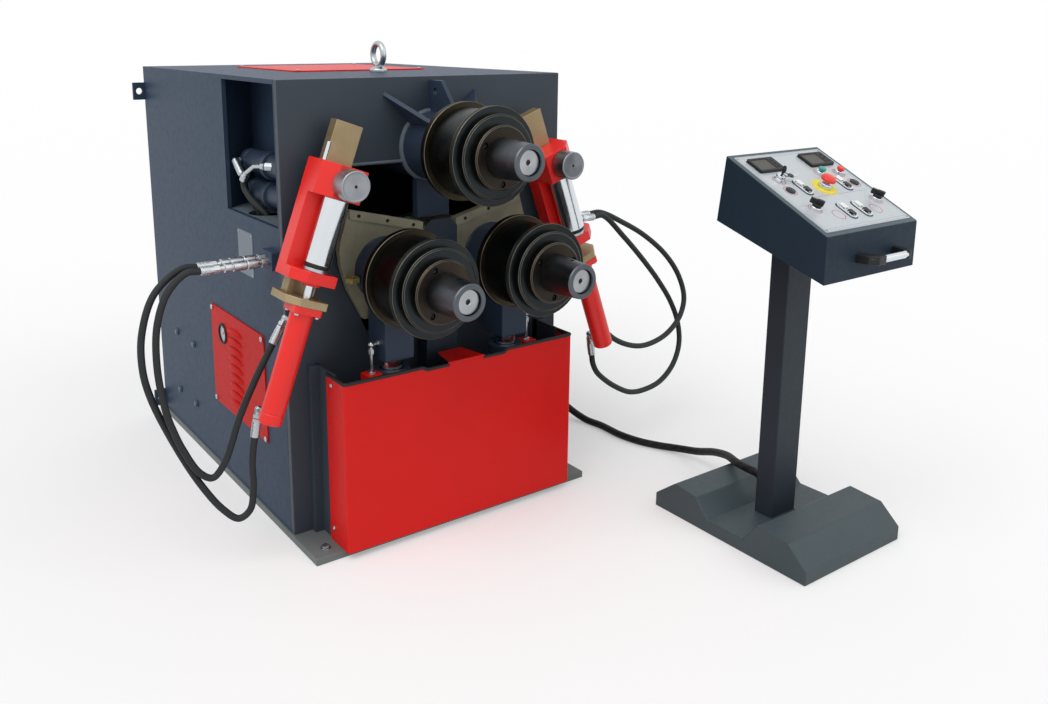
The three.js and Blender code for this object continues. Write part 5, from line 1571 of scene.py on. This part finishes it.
def make_guide(side):
    carriage, long_roller, disc_roller = (
        f"{side}_{part}" for part in ("carriage", "long_roller", "disc_roller")
    )
    slide = [
        block((-35, 43), (slide_face, -40), (foot_z, 151)),
        *[block((-28, 28), (-41, -0.3), (top - 40, top)) for top in (-40, -180)],
    ]
    foot = cut(
        plate("z", (foot_z, foot_z + 20), [
            (-58, -40), (-58, chamfer_y), (chamfer_x, guide_front), (46, guide_front), (46, -40),
        ]),
        pin("z", (foot_z - 6, foot_z + 29), ram_place, ram_bore),
    )
    guide_piece(side, "slide_bar", slide + [foot], gold_zinc, "gold_zinc",
                [f"{side}_guide_slide_frame"], bevel=1.6)

    channel = plate("z", (bottom_block[0], top_block[1]), [
        (carriage_out, -40.3), (carriage_out, web_front), (carriage_in, web_front),
        (carriage_in, -40.3), (43.3, -40.3), (43.3, slide_face - 0.3), (-35.3, slide_face - 0.3),
        (-35.3, -40.3),
    ])
    under = bottom_block[0]
    rod_boss = turned("z", ram_place, [
        (under - 8, 0), (under - 8, 23), (under - 6, 25), (under + 2, 25), (under + 2, 0),
    ])
    whole = join(channel, carriage_block(top_block), carriage_block(bottom_block), rod_boss)
    # The carriage's brighter red is a painted highlight.
    guide_piece(side, "carriage_body", [whole], gloss_highlight_red, "red_paint",
                [f"{side}_guide_carriage"], carriage, bevel=1.8, segments=3)
    pins = [
        pin("z", (bottom_block[1] - 2, top_block[0] + 2), (0, roller_y), 9.8),
        pin("z", (bottom_block[0] - 214, bottom_block[0] + 2), ram_place, 10.8),
        pin("y", (guide_front - 40, guide_front + 2), (0, 0), 11.6),
    ]
    if side == "left":
        pins.append(pin("z", (top_block[1] - 2, top_block[1] + 47), (-50, -100), 5.2))
    guide_piece(side, "pins_and_piston", pins, chrome, "chrome", body=carriage, bevel=0.8)

    low, high = bottom_block[1] + 0.3, top_block[0] - 0.3
    roller = [turned("z", (0, roller_y), [
        (low + 19, roller_bore), (low + 19, 31.5), (low + 20.5, roller_radius),
        (high - 1, roller_radius), (high, 32), (high, roller_bore),
    ])]
    guide_piece(side, "long_roller", roller, chrome, "chrome", [f"{side}_guide_roller"], long_roller,
                bevel=0.5)
    collar = [turned("z", (0, roller_y), [
        (low, roller_bore), (low, 30), (low + 1, 31), (low + 9, 31), (low + 9, roller_bore),
    ])]
    guide_piece(side, "roller_collar", collar, zinc, "chrome", body=long_roller, bevel=0.6)
    seal = [turned("z", (0, roller_y), [
        (low + 9, roller_bore), (low + 9, 29), (low + 10, 30.5), (low + 18, 31), (low + 19, 30),
        (low + 19, roller_bore),
    ])]
    guide_piece(side, "roller_seal", seal, trim_rubber, "black_plastic", body=long_roller, bevel=0.4)

    back = guide_front - 0.3
    face = back - 50
    disc = cut(
        turned("y", (0, 0), [
            (face + 1, 0), (face + 1, 33.5), (face, 34.5), (face, 38), (face + 1.5, 39.5),
            (back - 1.5, 39.5), (back, 38), (back, 12.6), (back - 44, 12.6), (back - 44, 0),
        ]),
        pin("y", (face - 5, face + 4), (0, 0), 4.2),
    )
    (centre_x, _, centre_z), _ = leaned_place((0, 0, 0), (0, 0, 1), side)
    disc_steel = turned_steel(f"{side}_guide_disc_steel", "#9ea2a7", "#84888d", (centre_x, centre_z),
                              rough=0.36, pitch=1.2)
    guide_piece(side, "turned_disc", [disc], disc_steel, "ground_steel",
                [f"{side}_guide_disc_roller"], disc_roller, bevel=0.5)
    plug = [pin("y", (face + 2.5, face + 4.5), (0, 0), 4)]
    guide_piece(side, "disc_centre", plug, black_steel, "roll_steel", body=disc_roller, bevel=0)


def make_guide_cylinder(side):
    top = foot_z - 0.3
    under = top - 18
    flange = cut(
        plate("z", (under, top), rounded((-36, 40), (-156, -80), 9)),
        pin("z", (under - 5, top + 5), ram_place, ram_bore),
    )
    tube = turned("z", ram_place, [
        (under - 288, 0), (under - 288, 27), (under - 285, 30), (under - 262, 30), (under - 261, 28.8),
        (under - 259, 28.8), (under - 258, 30), (under, 30), (under, ram_bore), (under - 264, ram_bore),
        (under - 264, 0),
    ])
    port_bosses = [pin("y", (-98, -78), (ram_place[0], under - drop), 14) for drop in (31, 273)]
    # The barrel's brighter red is a painted highlight.
    guide_piece(side, "ram_barrel", [flange, tube] + port_bosses, gloss_highlight_red, "red_paint",
                [f"{side}_guide_cylinder"], bevel=1.4, segments=3)
    flange_screws = [
        leaned_place((x, y, under), (0, 0, -1), side) for x in (-26, 30) for y in (-146, -90)
    ]
    screws(f"{side}_guide_flange_screws", flange_screws, radius=6, height=5)
    fitting_forms = []
    for drop, slope in ((31, -14), (274, 12)):
        z = under - drop
        knee = Vector((-4, -50, z))
        fall = Vector((slope, 0, -72))

        def along(share):
            return knee + fall * share

        fitting_forms += [
            strut((ram_place[0], -85, z), knee, 8), ball(knee, 9.5),
            strut(knee, along(0.3), 8.2), strut(along(0.16), along(0.3), 12, 6),
            strut(along(0.32), along(0.46), 12, 6), strut(along(0.44), along(0.99), 11.4),
            *[strut(along(share), along(share + 0.04), 12) for share in (0.52, 0.66, 0.8)],
        ]
    guide_piece(side, "elbows_and_ferrules", fitting_forms, zinc, "zinc_steel", bevel=0.6)


for side in ("left", "right"):
    make_guide(side)
    make_guide_cylinder(side)

# %% [markdown]
# ## Quick couplers
#
# The hoses plug into two quick couplers on each side wall, in a common block. A coupler is a row of
# turned parts: a hexagon, a sliding sleeve with two grooves, and the crimped ferrule of the hose.

# %% Couplers
coupler_places = ((50, 781), (75, 787))


def coupler(place):
    def at(distance):
        return -side_x - distance

    return [
        turned("x", place, [
            (at(200), 0), (at(200), 9.6), (at(199), 10.6), (at(150), 11), (at(149), 9), (at(140), 9),
            (at(138), 12.4), (at(120), 12.4), (at(119), 9.5), (at(116), 9.5), (at(115), 12.4),
            (at(82), 12.4), (at(81), 11), (at(78), 11), (at(77), 12.4), (at(50), 12.4), (at(48), 9.5),
            (at(40), 9.5), (at(40), 0),
        ], small_sides),
        bar("x", (at(166), at(152)), place, 12.2, 6),
        bar("x", (at(40), at(19)), place, 12.6, 6),
        *[pin("x", (at(d + 4), at(d)), place, 11.6) for d in (192, 184, 176)],
    ]


def make_couplers(side):
    mount = [plate("x", (-side_x - 20, -side_x + 0.5), rounded((28, 97), (759, 809), 4))]
    side_piece(side, "coupler_block", mount, side_enamel, "side_paint", [f"{side}_couplers"], bevel=1.5)
    forms = [form for place in coupler_places for form in coupler(place)]
    side_piece(side, "quick_couplers", forms, zinc, "zinc_steel", bevel=0.5)


for side in ("left", "right"):
    make_couplers(side)

# %% [markdown]
# ## Pedestal
#
# The console stands on a floor stand: a heavy base folded from one sheet into two humps with a flat
# between them, and a square post. The base's folds are sharp bends in 4 mm sheet, so its outline is
# extruded across and then bevelled with a larger radius than the rest.

# %% Pedestal, post and cable gland
console_x = 718
pedestal_rear = -411
pedestal_half = 204
pedestal_line = [(0, 0), (0, 40), (-72, 96), (-154, 88), (-203, 37), (-324, 39), (-369, 97),
                 (-468, 91), (-527, 40), (-527, 0)]
floor_slope = 105 / 340
console_front = -912
console_front_top = 895
console_front_low = 777


def console_floor(y):
    """Height of the console box's floor at a place Y."""
    return console_front_low + (y - console_front) * floor_slope


base_shape = plate(
    "x", about(console_x, pedestal_half),
    [(pedestal_rear + y, z) for y, z in pedestal_line],
)
make_piece("pedestal_base", [base_shape], foot_coat, "base_paint", ["console_pedestal"],
           bevel=3.0, segments=3)
post_shape = plate("x", about(console_x, 50), [
    (-708, 10), (-648, 10), (-648, console_floor(-648) - 0.3), (-708, console_floor(-708) - 0.3),
])
foot_bead = strut((console_x - 52, -709, 38), (console_x + 52, -709, 38), 3, 12)
make_piece("pedestal_post", [post_shape, foot_bead], post_coat, "base_paint", bevel=3.5, segments=3)
make_piece("post_cable_gland", [turned("y", (console_x, 125), [
    (-648.5, 0), (-648.5, 17), (-640, 17), (-639, 15), (-630, 17), (-616, 15), (-610, 12.4), (-610, 0),
], small_sides)], black_plastic, "black_plastic", bevel=0.6)

# %% [markdown]
# ## Console box
#
# The console is a folded sheet box whose open top slopes up towards the back, with the panel laid in
# it. A bent steel bar with a black grip makes the handle. The box is hollow, so its walls are cut from
# an outer and an inner outline.

# %% Console box and handle
console_half = 188
top_depth = 319
top_rise = 160
floor_depth = 340
top_slope = math.atan2(top_rise, top_depth)
top_length = math.hypot(top_rise, top_depth)


def console_outline(inset):
    front = console_front + inset
    rear = console_front + top_depth - inset
    rear_foot = console_front + floor_depth - inset
    lift = inset / math.cos(top_slope)

    def slope_at(y):
        return console_front_top + (y - console_front) * math.tan(top_slope)

    return [
        (front, console_floor(front) + lift), (rear_foot, console_floor(rear_foot) + lift),
        (rear, slope_at(rear) - lift), (front, slope_at(front) - lift),
    ]


on_panel = Matrix.Translation((console_x, console_front, console_front_top)) @ Matrix.Rotation(
    top_slope, 4, "X"
)
outer_box = plate("x", about(console_x, console_half), console_outline(0))
inner_box = plate("x", (console_x - console_half + 3, console_x + console_half - 3), console_outline(3))
mouth = moved(block((-console_half + 14, console_half - 14), (14, top_length - 14), (-6, 3)), on_panel)
make_piece("console_sheet_box", [cut(outer_box, inner_box, mouth)], console_coat, "console_paint",
           ["console_box"], bevel=1.6, segments=3)

handle_x = (console_x - 55, console_x + 95)
handle_y = console_front - 42
handle_z = console_front_top - 66
handle_bend = 14
bracket_z = about(handle_z, 11)
handle_path = [(handle_x[0], console_front + 2, handle_z)]
for centre_x, start in ((handle_x[0] + handle_bend, 180), (handle_x[1] - handle_bend, 270)):
    corner = arc((centre_x, handle_y + handle_bend), handle_bend, start, start + 90, 6)
    handle_path += [(x, y, handle_z) for x, y in corner]
handle_path.append((handle_x[1], console_front + 2, handle_z))
handle_bar, _ = sweep("console_handle_bar", [Vector(p) * MM for p in handle_path], 8.5 * MM, ring=24)
finish_piece(handle_bar, black_plastic)
grip_x = (handle_x[0] + 34, handle_x[1] - 13)
grip = [turned("x", (handle_y, handle_z), [
    (grip_x[0], 7), (grip_x[0], 9), (grip_x[0] + 1, 9.6), (grip_x[1] - 1, 9.6), (grip_x[1], 9),
    (grip_x[1], 7),
], small_sides)]
make_piece("console_handle_grip", grip, chrome, "chrome", bevel=0.4)
near_bracket = plate("z", bracket_z, [
    (handle_x[0] - 12, console_front + 1), (handle_x[0] + 12, console_front + 1),
    (grip_x[0] + 4, handle_y + 7), (grip_x[0] + 4, handle_y - 10), (handle_x[0] + 8, handle_y - 10),
    (handle_x[0] - 8, handle_y + 8),
])
far_bracket = plate("z", bracket_z, [
    (handle_x[1] - 10, console_front + 1), (handle_x[1] + 10, console_front + 1),
    (handle_x[1] + 6, handle_y + 6), (handle_x[1] - 6, handle_y - 10), (handle_x[1] - 17, handle_y - 10),
    (handle_x[1] - 17, handle_y + 8),
])
make_piece("console_handle_brackets", [near_bracket, far_bracket], black_plastic, "black_plastic",
           bevel=2.0, segments=3)

# %% [markdown]
# ## Control panel
#
# The panel is an anodised sheet with a printed film, screwed into the box's mouth. It lies on the
# slope, so everything on it is modelled flat, X across from the middle, Y up the slope and Z off it,
# and then put in place with one matrix. The printed lines are thin plates a tenth of a millimetre
# proud. Under the film the sheet's metal hardly shows, so its metallic is low.

# %% Panel sheet, displays, rings and printed lines
panel_face = 3.3
print_depth, print_height = 0.2, 0.12
printed = (panel_face - print_depth, panel_face + print_height)
in_sheet = 1 - panel_face
panel_sides = 48
panel_paint = metal("anodised_panel_film", "#c6cdd1", "#bac1c6", rough=0.36, grain=(120, 700, 120),
                    metallic=0.15)
printed_red = moulded("printed_red_ring", "#b0303c", rough=0.4)
printed_grey = moulded("printed_grey_line", "#8b939b", rough=0.4)
display_screen = moulded("grey_display_screen", "#3a3931", rough=0.35)


def panel_place(share):
    """A place on the panel in mm from shares of its half width and of its length."""
    return share[0] * console_half, share[1] * top_length


def panelled(forms, turn=0.0, place=(0, 0)):
    """Forms about a control's own axis, turned, set on the panel and put in the machine."""
    here = on_panel @ Matrix.Translation((*place, 0)) @ Matrix.Rotation(math.radians(turn), 4, "Z")
    return [moved(form, here) for form in forms]


def panel_piece(name, forms, material, slot, body="machine", place=(0, 0), turn=0.0, stands_for=(),
                bevel=0.5):
    make_piece(name, panelled(forms, turn, place), material, slot, stands_for, body, bevel)


def spun(place, profile, base=panel_face):
    """A turned part that stands off the panel. Its profile's heights count from base."""
    return turned("z", place, [(base + height, radius) for height, radius in profile], panel_sides)


stop_place = panel_place((0.045, 0.5))
key_place = panel_place((-0.63, 0.642))
selector_places = {"left": panel_place((-0.63, 0.285)), "right": panel_place((0.72, 0.285))}
green_place = panel_place((0.31, 0.66))
red_place = panel_place((0.69, 0.64))
lamp_places = [panel_place((-0.66, 0.51)), panel_place((0.745, 0.505))]
twin_places = [panel_place(s) for s in ((-0.37, 0.525), (0.49, 0.515), (-0.11, 0.215), (0.21, 0.21))]
blank_places = [(-63, 68), (92, 68)]

# The rim band's lighter grey is a painted reflection of the light above it.
rim = cut(
    plate("z", (-1, 1.2), rounded((1 - console_half, console_half - 1), (1, top_length - 1), 2)),
    plate("z", (-5, 5), rounded((-172, 172), (16, top_length - 16), 3)),
)
panel_piece("console_rim", [rim], rim_reflection_coat, "console_paint", bevel=0.4)
sheet = plate("z", (0.3, panel_face), rounded((-174, 174), (14, top_length - 14), 3))
panel_piece("panel_sheet", [sheet], panel_paint, "panel_face", stands_for=["control_panel"], bevel=0.4)
up = on_panel.to_3x3() @ Vector((0, 0, 1))
corner_screws = [
    (tuple(on_panel @ Vector((x, y, panel_face))), tuple(up))
    for x in (-167, 167) for y in (21, top_length - 21)
]
screws("panel_corner_screws", corner_screws, radius=3.4, height=1.6)

display_y = 0.82 * top_length
bezel_x, bezel_y = 48.5, 28.5
window_left, window_right, window_y = 42, 20, 22
for side, sign in (("left", -1), ("right", 1)):
    x = sign * 0.55 * console_half
    border = rounded(about(x, bezel_x), about(display_y, bezel_y), 4)
    window = (x - window_left, x + window_right), about(display_y, window_y)
    bezel = cut(
        plate("z", (0.5, panel_face + 8), border),
        plate("z", (panel_face + 6, panel_face + 12), rounded(*window, 2)),
    )
    panel_piece(f"{side}_display_bezel", [bezel], bezel_black, "black_plastic", bevel=0.8)
    screen = block(*window, (panel_face + 5, panel_face + 6.4))
    panel_piece(f"{side}_display_screen", [screen], display_screen, "black_plastic", bevel=0.2)
    keys = [bar("z", (panel_face + 7, panel_face + 9), (x + 34, display_y + d), 4.2, 24)
            for d in (-14, 0, 14)]
    panel_piece(f"{side}_display_keys", keys, trim_rubber, "black_plastic")


def flat_ring(place, inner, outer, high=print_height):
    """A thin ring on the panel's face."""
    return spun(place, [(-print_depth, inner), (-print_depth, outer), (high, outer), (high, inner)])


red_rings = [key_place, green_place, red_place, *selector_places.values(), *lamp_places, *blank_places]
panel_piece("printed_red_rings", [flat_ring(p, 17.2, 18.8) for p in red_rings], printed_red,
            "red_plastic", bevel=0)
panel_piece("stop_yellow_ring", [turned("z", stop_place, [
    (1, 18), (1, 32), (panel_face + 1, 32), (panel_face + 1.5, 31.5), (panel_face + 1.5, 18),
])], yellow_plastic, "panel_face", bevel=0.3)
dividers = [
    block(x, y, printed) for x, y in (
        ((-70, 152), (144.4, 145.6)), ((-70, -68.8), (120, 145.6)), ((-160, -70), (119, 120.2)),
    )
]
panel_piece("printed_dividing_line", dividers, printed_grey, "panel_face", bevel=0)


def line_frame(half, margin, width=1.0):
    """A printed frame round the panel, as four thin plates."""
    low, high = margin, top_length - margin
    return [
        *[block(about(x, width / 2), (low, high), printed) for x in (-half, half)],
        *[block(about(0, half), about(y, width / 2), printed) for y in (low, high)],
    ]


frame_lines = line_frame(171, 18) + line_frame(165, 25)
panel_piece("printed_frame_lines", frame_lines, printed_grey, "panel_face", bevel=0)
stop_outlines = [flat_ring(stop_place, r, r + 1.1, 0.14) for r in (34, 38.5)]
panel_piece("stop_ring_outlines", stop_outlines, yellow_plastic, "panel_face", bevel=0)

collar_forms = [
    spun(place, [
        (in_sheet, 6), (in_sheet, 14.5), (2, 14.5), (3, 14), (8, 14), (9, 13), (9, 11), (7, 10.5),
        (7, 6),
    ])
    for place in (green_place, red_place, *selector_places.values())
]
collar_forms.append(spun(stop_place, [(in_sheet, 6), (in_sheet, 17), (10, 17), (14, 15), (14, 6)]))
panel_piece("control_collars", collar_forms, chrome, "chrome", bevel=0.4)
panel_piece("key_switch_collar", [
    spun(key_place, [(in_sheet, 6), (in_sheet, 15), (2, 15), (9, 13.6), (9, 6)])
], chrome, "chrome", bevel=0.4)
panel_piece("indicator_bezels", [
    spun(p, [(in_sheet, 6), (in_sheet, 13), (3, 13), (4, 12), (4, 9), (2, 8.5), (2, 6)])
    for p in lamp_places
], black_plastic, "black_plastic", bevel=0.3)
panel_piece("indicator_lenses", [
    spun(p, [(in_sheet, 0), (in_sheet, 8.6), (3.4, 8.4), (4.4, 6), (4.9, 3), (5, 0)])
    for p in lamp_places
], display_glass, "black_plastic", bevel=0)

twin_half, twin_length, twin_pitch = 12.5, 32, 28
gasket_border = 1.8
well_half, well_length = 8.6, 11.6
bezels, gaskets = [], []
for x, y in twin_places:
    gasket_x, gasket_y = twin_half + gasket_border, twin_length + gasket_border
    gaskets.append(plate("z", (1, panel_face + 1.2), rounded(
        about(x, gasket_x), about(y, gasket_y), 13, 10)))
    bezel = plate("z", (1, panel_face + 5), rounded(about(x, twin_half), about(y, twin_length), 12, 10))
    wells = [
        plate("z", (panel_face + 2.5, panel_face + 9),
              rounded(about(x, well_half), about(middle, well_length), 4))
        for middle in about(y, twin_pitch / 2)
    ]
    bezels.append(cut(bezel, *wells))
panel_piece("twin_button_bezels", bezels, chrome, "chrome", bevel=0.7)
panel_piece("twin_button_gaskets", gaskets, trim_rubber, "black_plastic", bevel=0.3)

# %% [markdown]
# ## The controls that move
#
# Every control is its own body: the stop button latches down, the key and the two selectors turn about
# the panel's normal, and the rest are springy push buttons. Each is modelled about its own axis and set
# in place, turned as the photograph shows it.

# %% Buttons, knobs and the key
stop_bottom = panel_face + 21
stem_radius = 4.8
stop_cap = spun((0, 0), [
    (0, 6), (0, 18), (1.5, 20), (6, 20), (8, 19.4), (11, 17.5), (13, 13.5), (14, 8), (14.2, 0), (1, 0),
], stop_bottom)
stem = pin("z", (panel_face - 14, stop_bottom + 1), (0, 0), stem_radius)
panel_piece("stop_mushroom", [stop_cap], red_plastic, "red_plastic", "stop_button", stop_place,
            stands_for=["emergency_stop"])
panel_piece("stop_stem", [stem], zinc, "zinc_steel", "stop_button", stop_place)

knob_rise = 9.3
key_bottom = panel_face + knob_rise
key_barrel = spun((0, 0), [
    (-10 - knob_rise, 0), (-10 - knob_rise, stem_radius), (0, stem_radius), (0, 12), (6, 12), (8, 11),
    (8, 9), (6.5, 8.5), (6.5, 0),
], key_bottom)
panel_piece("key_barrel", [key_barrel], chrome, "chrome", "key", key_place, stands_for=["key_switch"])
bow_middle = key_bottom + 24
key_bow = plate("y", (-1.4, 1.4), [
    (-3, key_bottom + 5), (3, key_bottom + 5), (3, key_bottom + 12),
    *arc((0, bow_middle), 10, -60, 240, 18), (-3, key_bottom + 12),
])
key_bow = cut(key_bow, bar("y", (-5, 5), (0, bow_middle + 5), 2.4, 16))
panel_piece("key_bow", [key_bow], black_plastic, "black_plastic", "key", key_place, turn=60)
ring_path = [(x, y, key_bottom + 9) for x, y in arc((14, -3), 9, 0, 360, 20)]
ring_forms = [strut(a, b, 1.0, 10) for a, b in zip(ring_path, ring_path[1:])]
spare_bow = plate("z", (key_bottom + 7, key_bottom + 9.6), [
    *arc((27, -8), 8.5, -20, 300, 18), (29, -15), (29, -16), (33, -14),
])
panel_piece("key_ring_and_spare", ring_forms + [spare_bow], black_plastic, "black_plastic", "key",
            key_place, bevel=0)
spare_blade = [block((31, 52), (-13, -8), (key_bottom + 7.4, key_bottom + 9.2))]
panel_piece("spare_key_blade", spare_blade, chrome, "chrome", "key", key_place, bevel=0.3)

knob_turn = 40
knob_disc = spun((0, 0), [
    (-10 - knob_rise, 0), (-10 - knob_rise, stem_radius), (0, stem_radius), (0, 12), (6, 12), (8, 11),
    (8, 0),
], key_bottom)
knob_lever = plate("z", (key_bottom + 4, key_bottom + 19), [
    *arc((0, 17.5), 4, 0, 180, 8), *arc((0, -9), 5, 180, 360, 8),
])
knob_mark = block((-0.8, 0.8), (6, 19), (key_bottom + 18.6, key_bottom + 19.3))
for side, place in selector_places.items():
    panel_piece(f"{side}_selector_knob", [knob_disc, knob_lever], black_plastic, "black_plastic",
                f"{side}_knob", place, knob_turn, [f"{side}_selector"], bevel=1.0)
    panel_piece(f"{side}_selector_mark", [knob_mark], white_plastic, "white_plastic",
                f"{side}_knob", place, knob_turn, bevel=0.1)

button_cap = spun((0, 0), [
    (-10, 0), (-10, stem_radius), (11, stem_radius), (11, 10), (17.1, 10), (18.1, 9), (18.5, 5),
    (18.5, 0),
])
for colour, place, material in (("green", green_place, green_plastic), ("red", red_place, red_plastic)):
    panel_piece(f"{colour}_push_cap", [button_cap], material, f"{colour}_plastic", colour, place,
                stands_for=[f"{colour}_button"])

pusher_top = panel_face + 9
pusher_forms = [
    plate("z", (panel_face + 6, pusher_top), rounded((-7.8, 7.8), (-10.8, 10.8), 3.5)),
    pin("z", (panel_face - 10, panel_face + 7), (0, 0), stem_radius),
]
for i, (x, y) in enumerate(twin_places, 1):
    for level, sign, material in (("upper", 1, white_plastic), ("lower", -1, black_plastic)):
        panel_piece(
            f"twin_{i}_{level}_pusher", pusher_forms, material,
            "white_plastic" if level == "upper" else "black_plastic", f"push_{i}_{level}",
            (x, y + sign * twin_pitch / 2), stands_for=[f"pusher_{i}_{level}"], bevel=0.9,
        )

# %% [markdown]
# ## What stays plain
#
# The pump unit inside the cabinet is hardly ever seen, so its CAD solid stays and gets an enamel.

# %% Carried-over solids
pump_materials = nodes["power_unit"].data.materials
pump_materials.clear()
pump_materials.append(blue_grey_enamel)

# %% [markdown]
# ## Floor and light
#
# The photograph is a studio picture on white. The floor is a plain pale sheet, and only rays from the
# camera, or seen in a mirror, get the white of the background. Two broad suns and an even world light
# the machine at a level where a colour renders about as it is written.

# %% Floor, world and lamps
floor_reach = 60
floor_drop = 0.0005
floor_glow = 0.26
world_level = 0.55


def camera_or_mirror(tree):
    """A node that gives 1 to rays from the camera or a mirror image, and 0 to the others."""
    rays = add_node(tree, "ShaderNodeLightPath").outputs
    return add_node(
        tree, "ShaderNodeMath", {0: rays["Is Camera Ray"], 1: rays["Is Glossy Ray"]},
        operation="MAXIMUM",
    )


floor_mesh = bpy.data.meshes.new("studio_floor")
corners = ((-1, -1), (1, -1), (1, 1), (-1, 1))
floor_mesh.from_pydata(
    [(x * floor_reach, y * floor_reach, -floor_drop) for x, y in corners], [], [(0, 1, 2, 3)]
)
floor = new_object("studio_floor", floor_mesh)
floor_material, floor_tree, floor_shader, _ = start_material("pale_studio_floor")
floor_lift = add_node(
    floor_tree, "ShaderNodeMath", {0: camera_or_mirror(floor_tree), 1: floor_glow},
    operation="MULTIPLY",
)
feed(floor_tree, floor_shader, {
    "Base Color": linear("#dedede"), "Roughness": 0.9, "Specular IOR Level": 0.1,
    "Emission Color": linear("#ffffff"), "Emission Strength": floor_lift,
})
floor.data.materials.append(floor_material)

world = bpy.data.worlds.new("studio")
bpy.context.scene.world = world
world.use_nodes = True
world_tree = world.node_tree
strength = add_node(world_tree, "ShaderNodeMapRange", {
    "Value": camera_or_mirror(world_tree), "To Min": world_level, "To Max": 1.0,
})
feed(world_tree, world_tree.nodes["Background"], {"Color": linear("#ffffff"), "Strength": strength})


def soft_sun(name, place, spread, energy):
    """A broad, even lamp that shines from the direction of place."""
    data = bpy.data.lights.new(name, "SUN")
    data.angle = math.radians(spread)
    data.energy = energy
    lamp = bpy.data.objects.new(name, data)
    scene_collection.objects.link(lamp)
    lamp.rotation_mode = "QUATERNION"
    lamp.rotation_quaternion = (-Vector(place)).to_track_quat("-Z", "Y")


soft_sun("key_light", (-0.7, -0.3, 1.1), 50, 1.35)
soft_sun("fill_light", (0.5, -0.85, 0.6), 60, 0.55)
bpy.context.scene.view_settings.view_transform = "Standard"
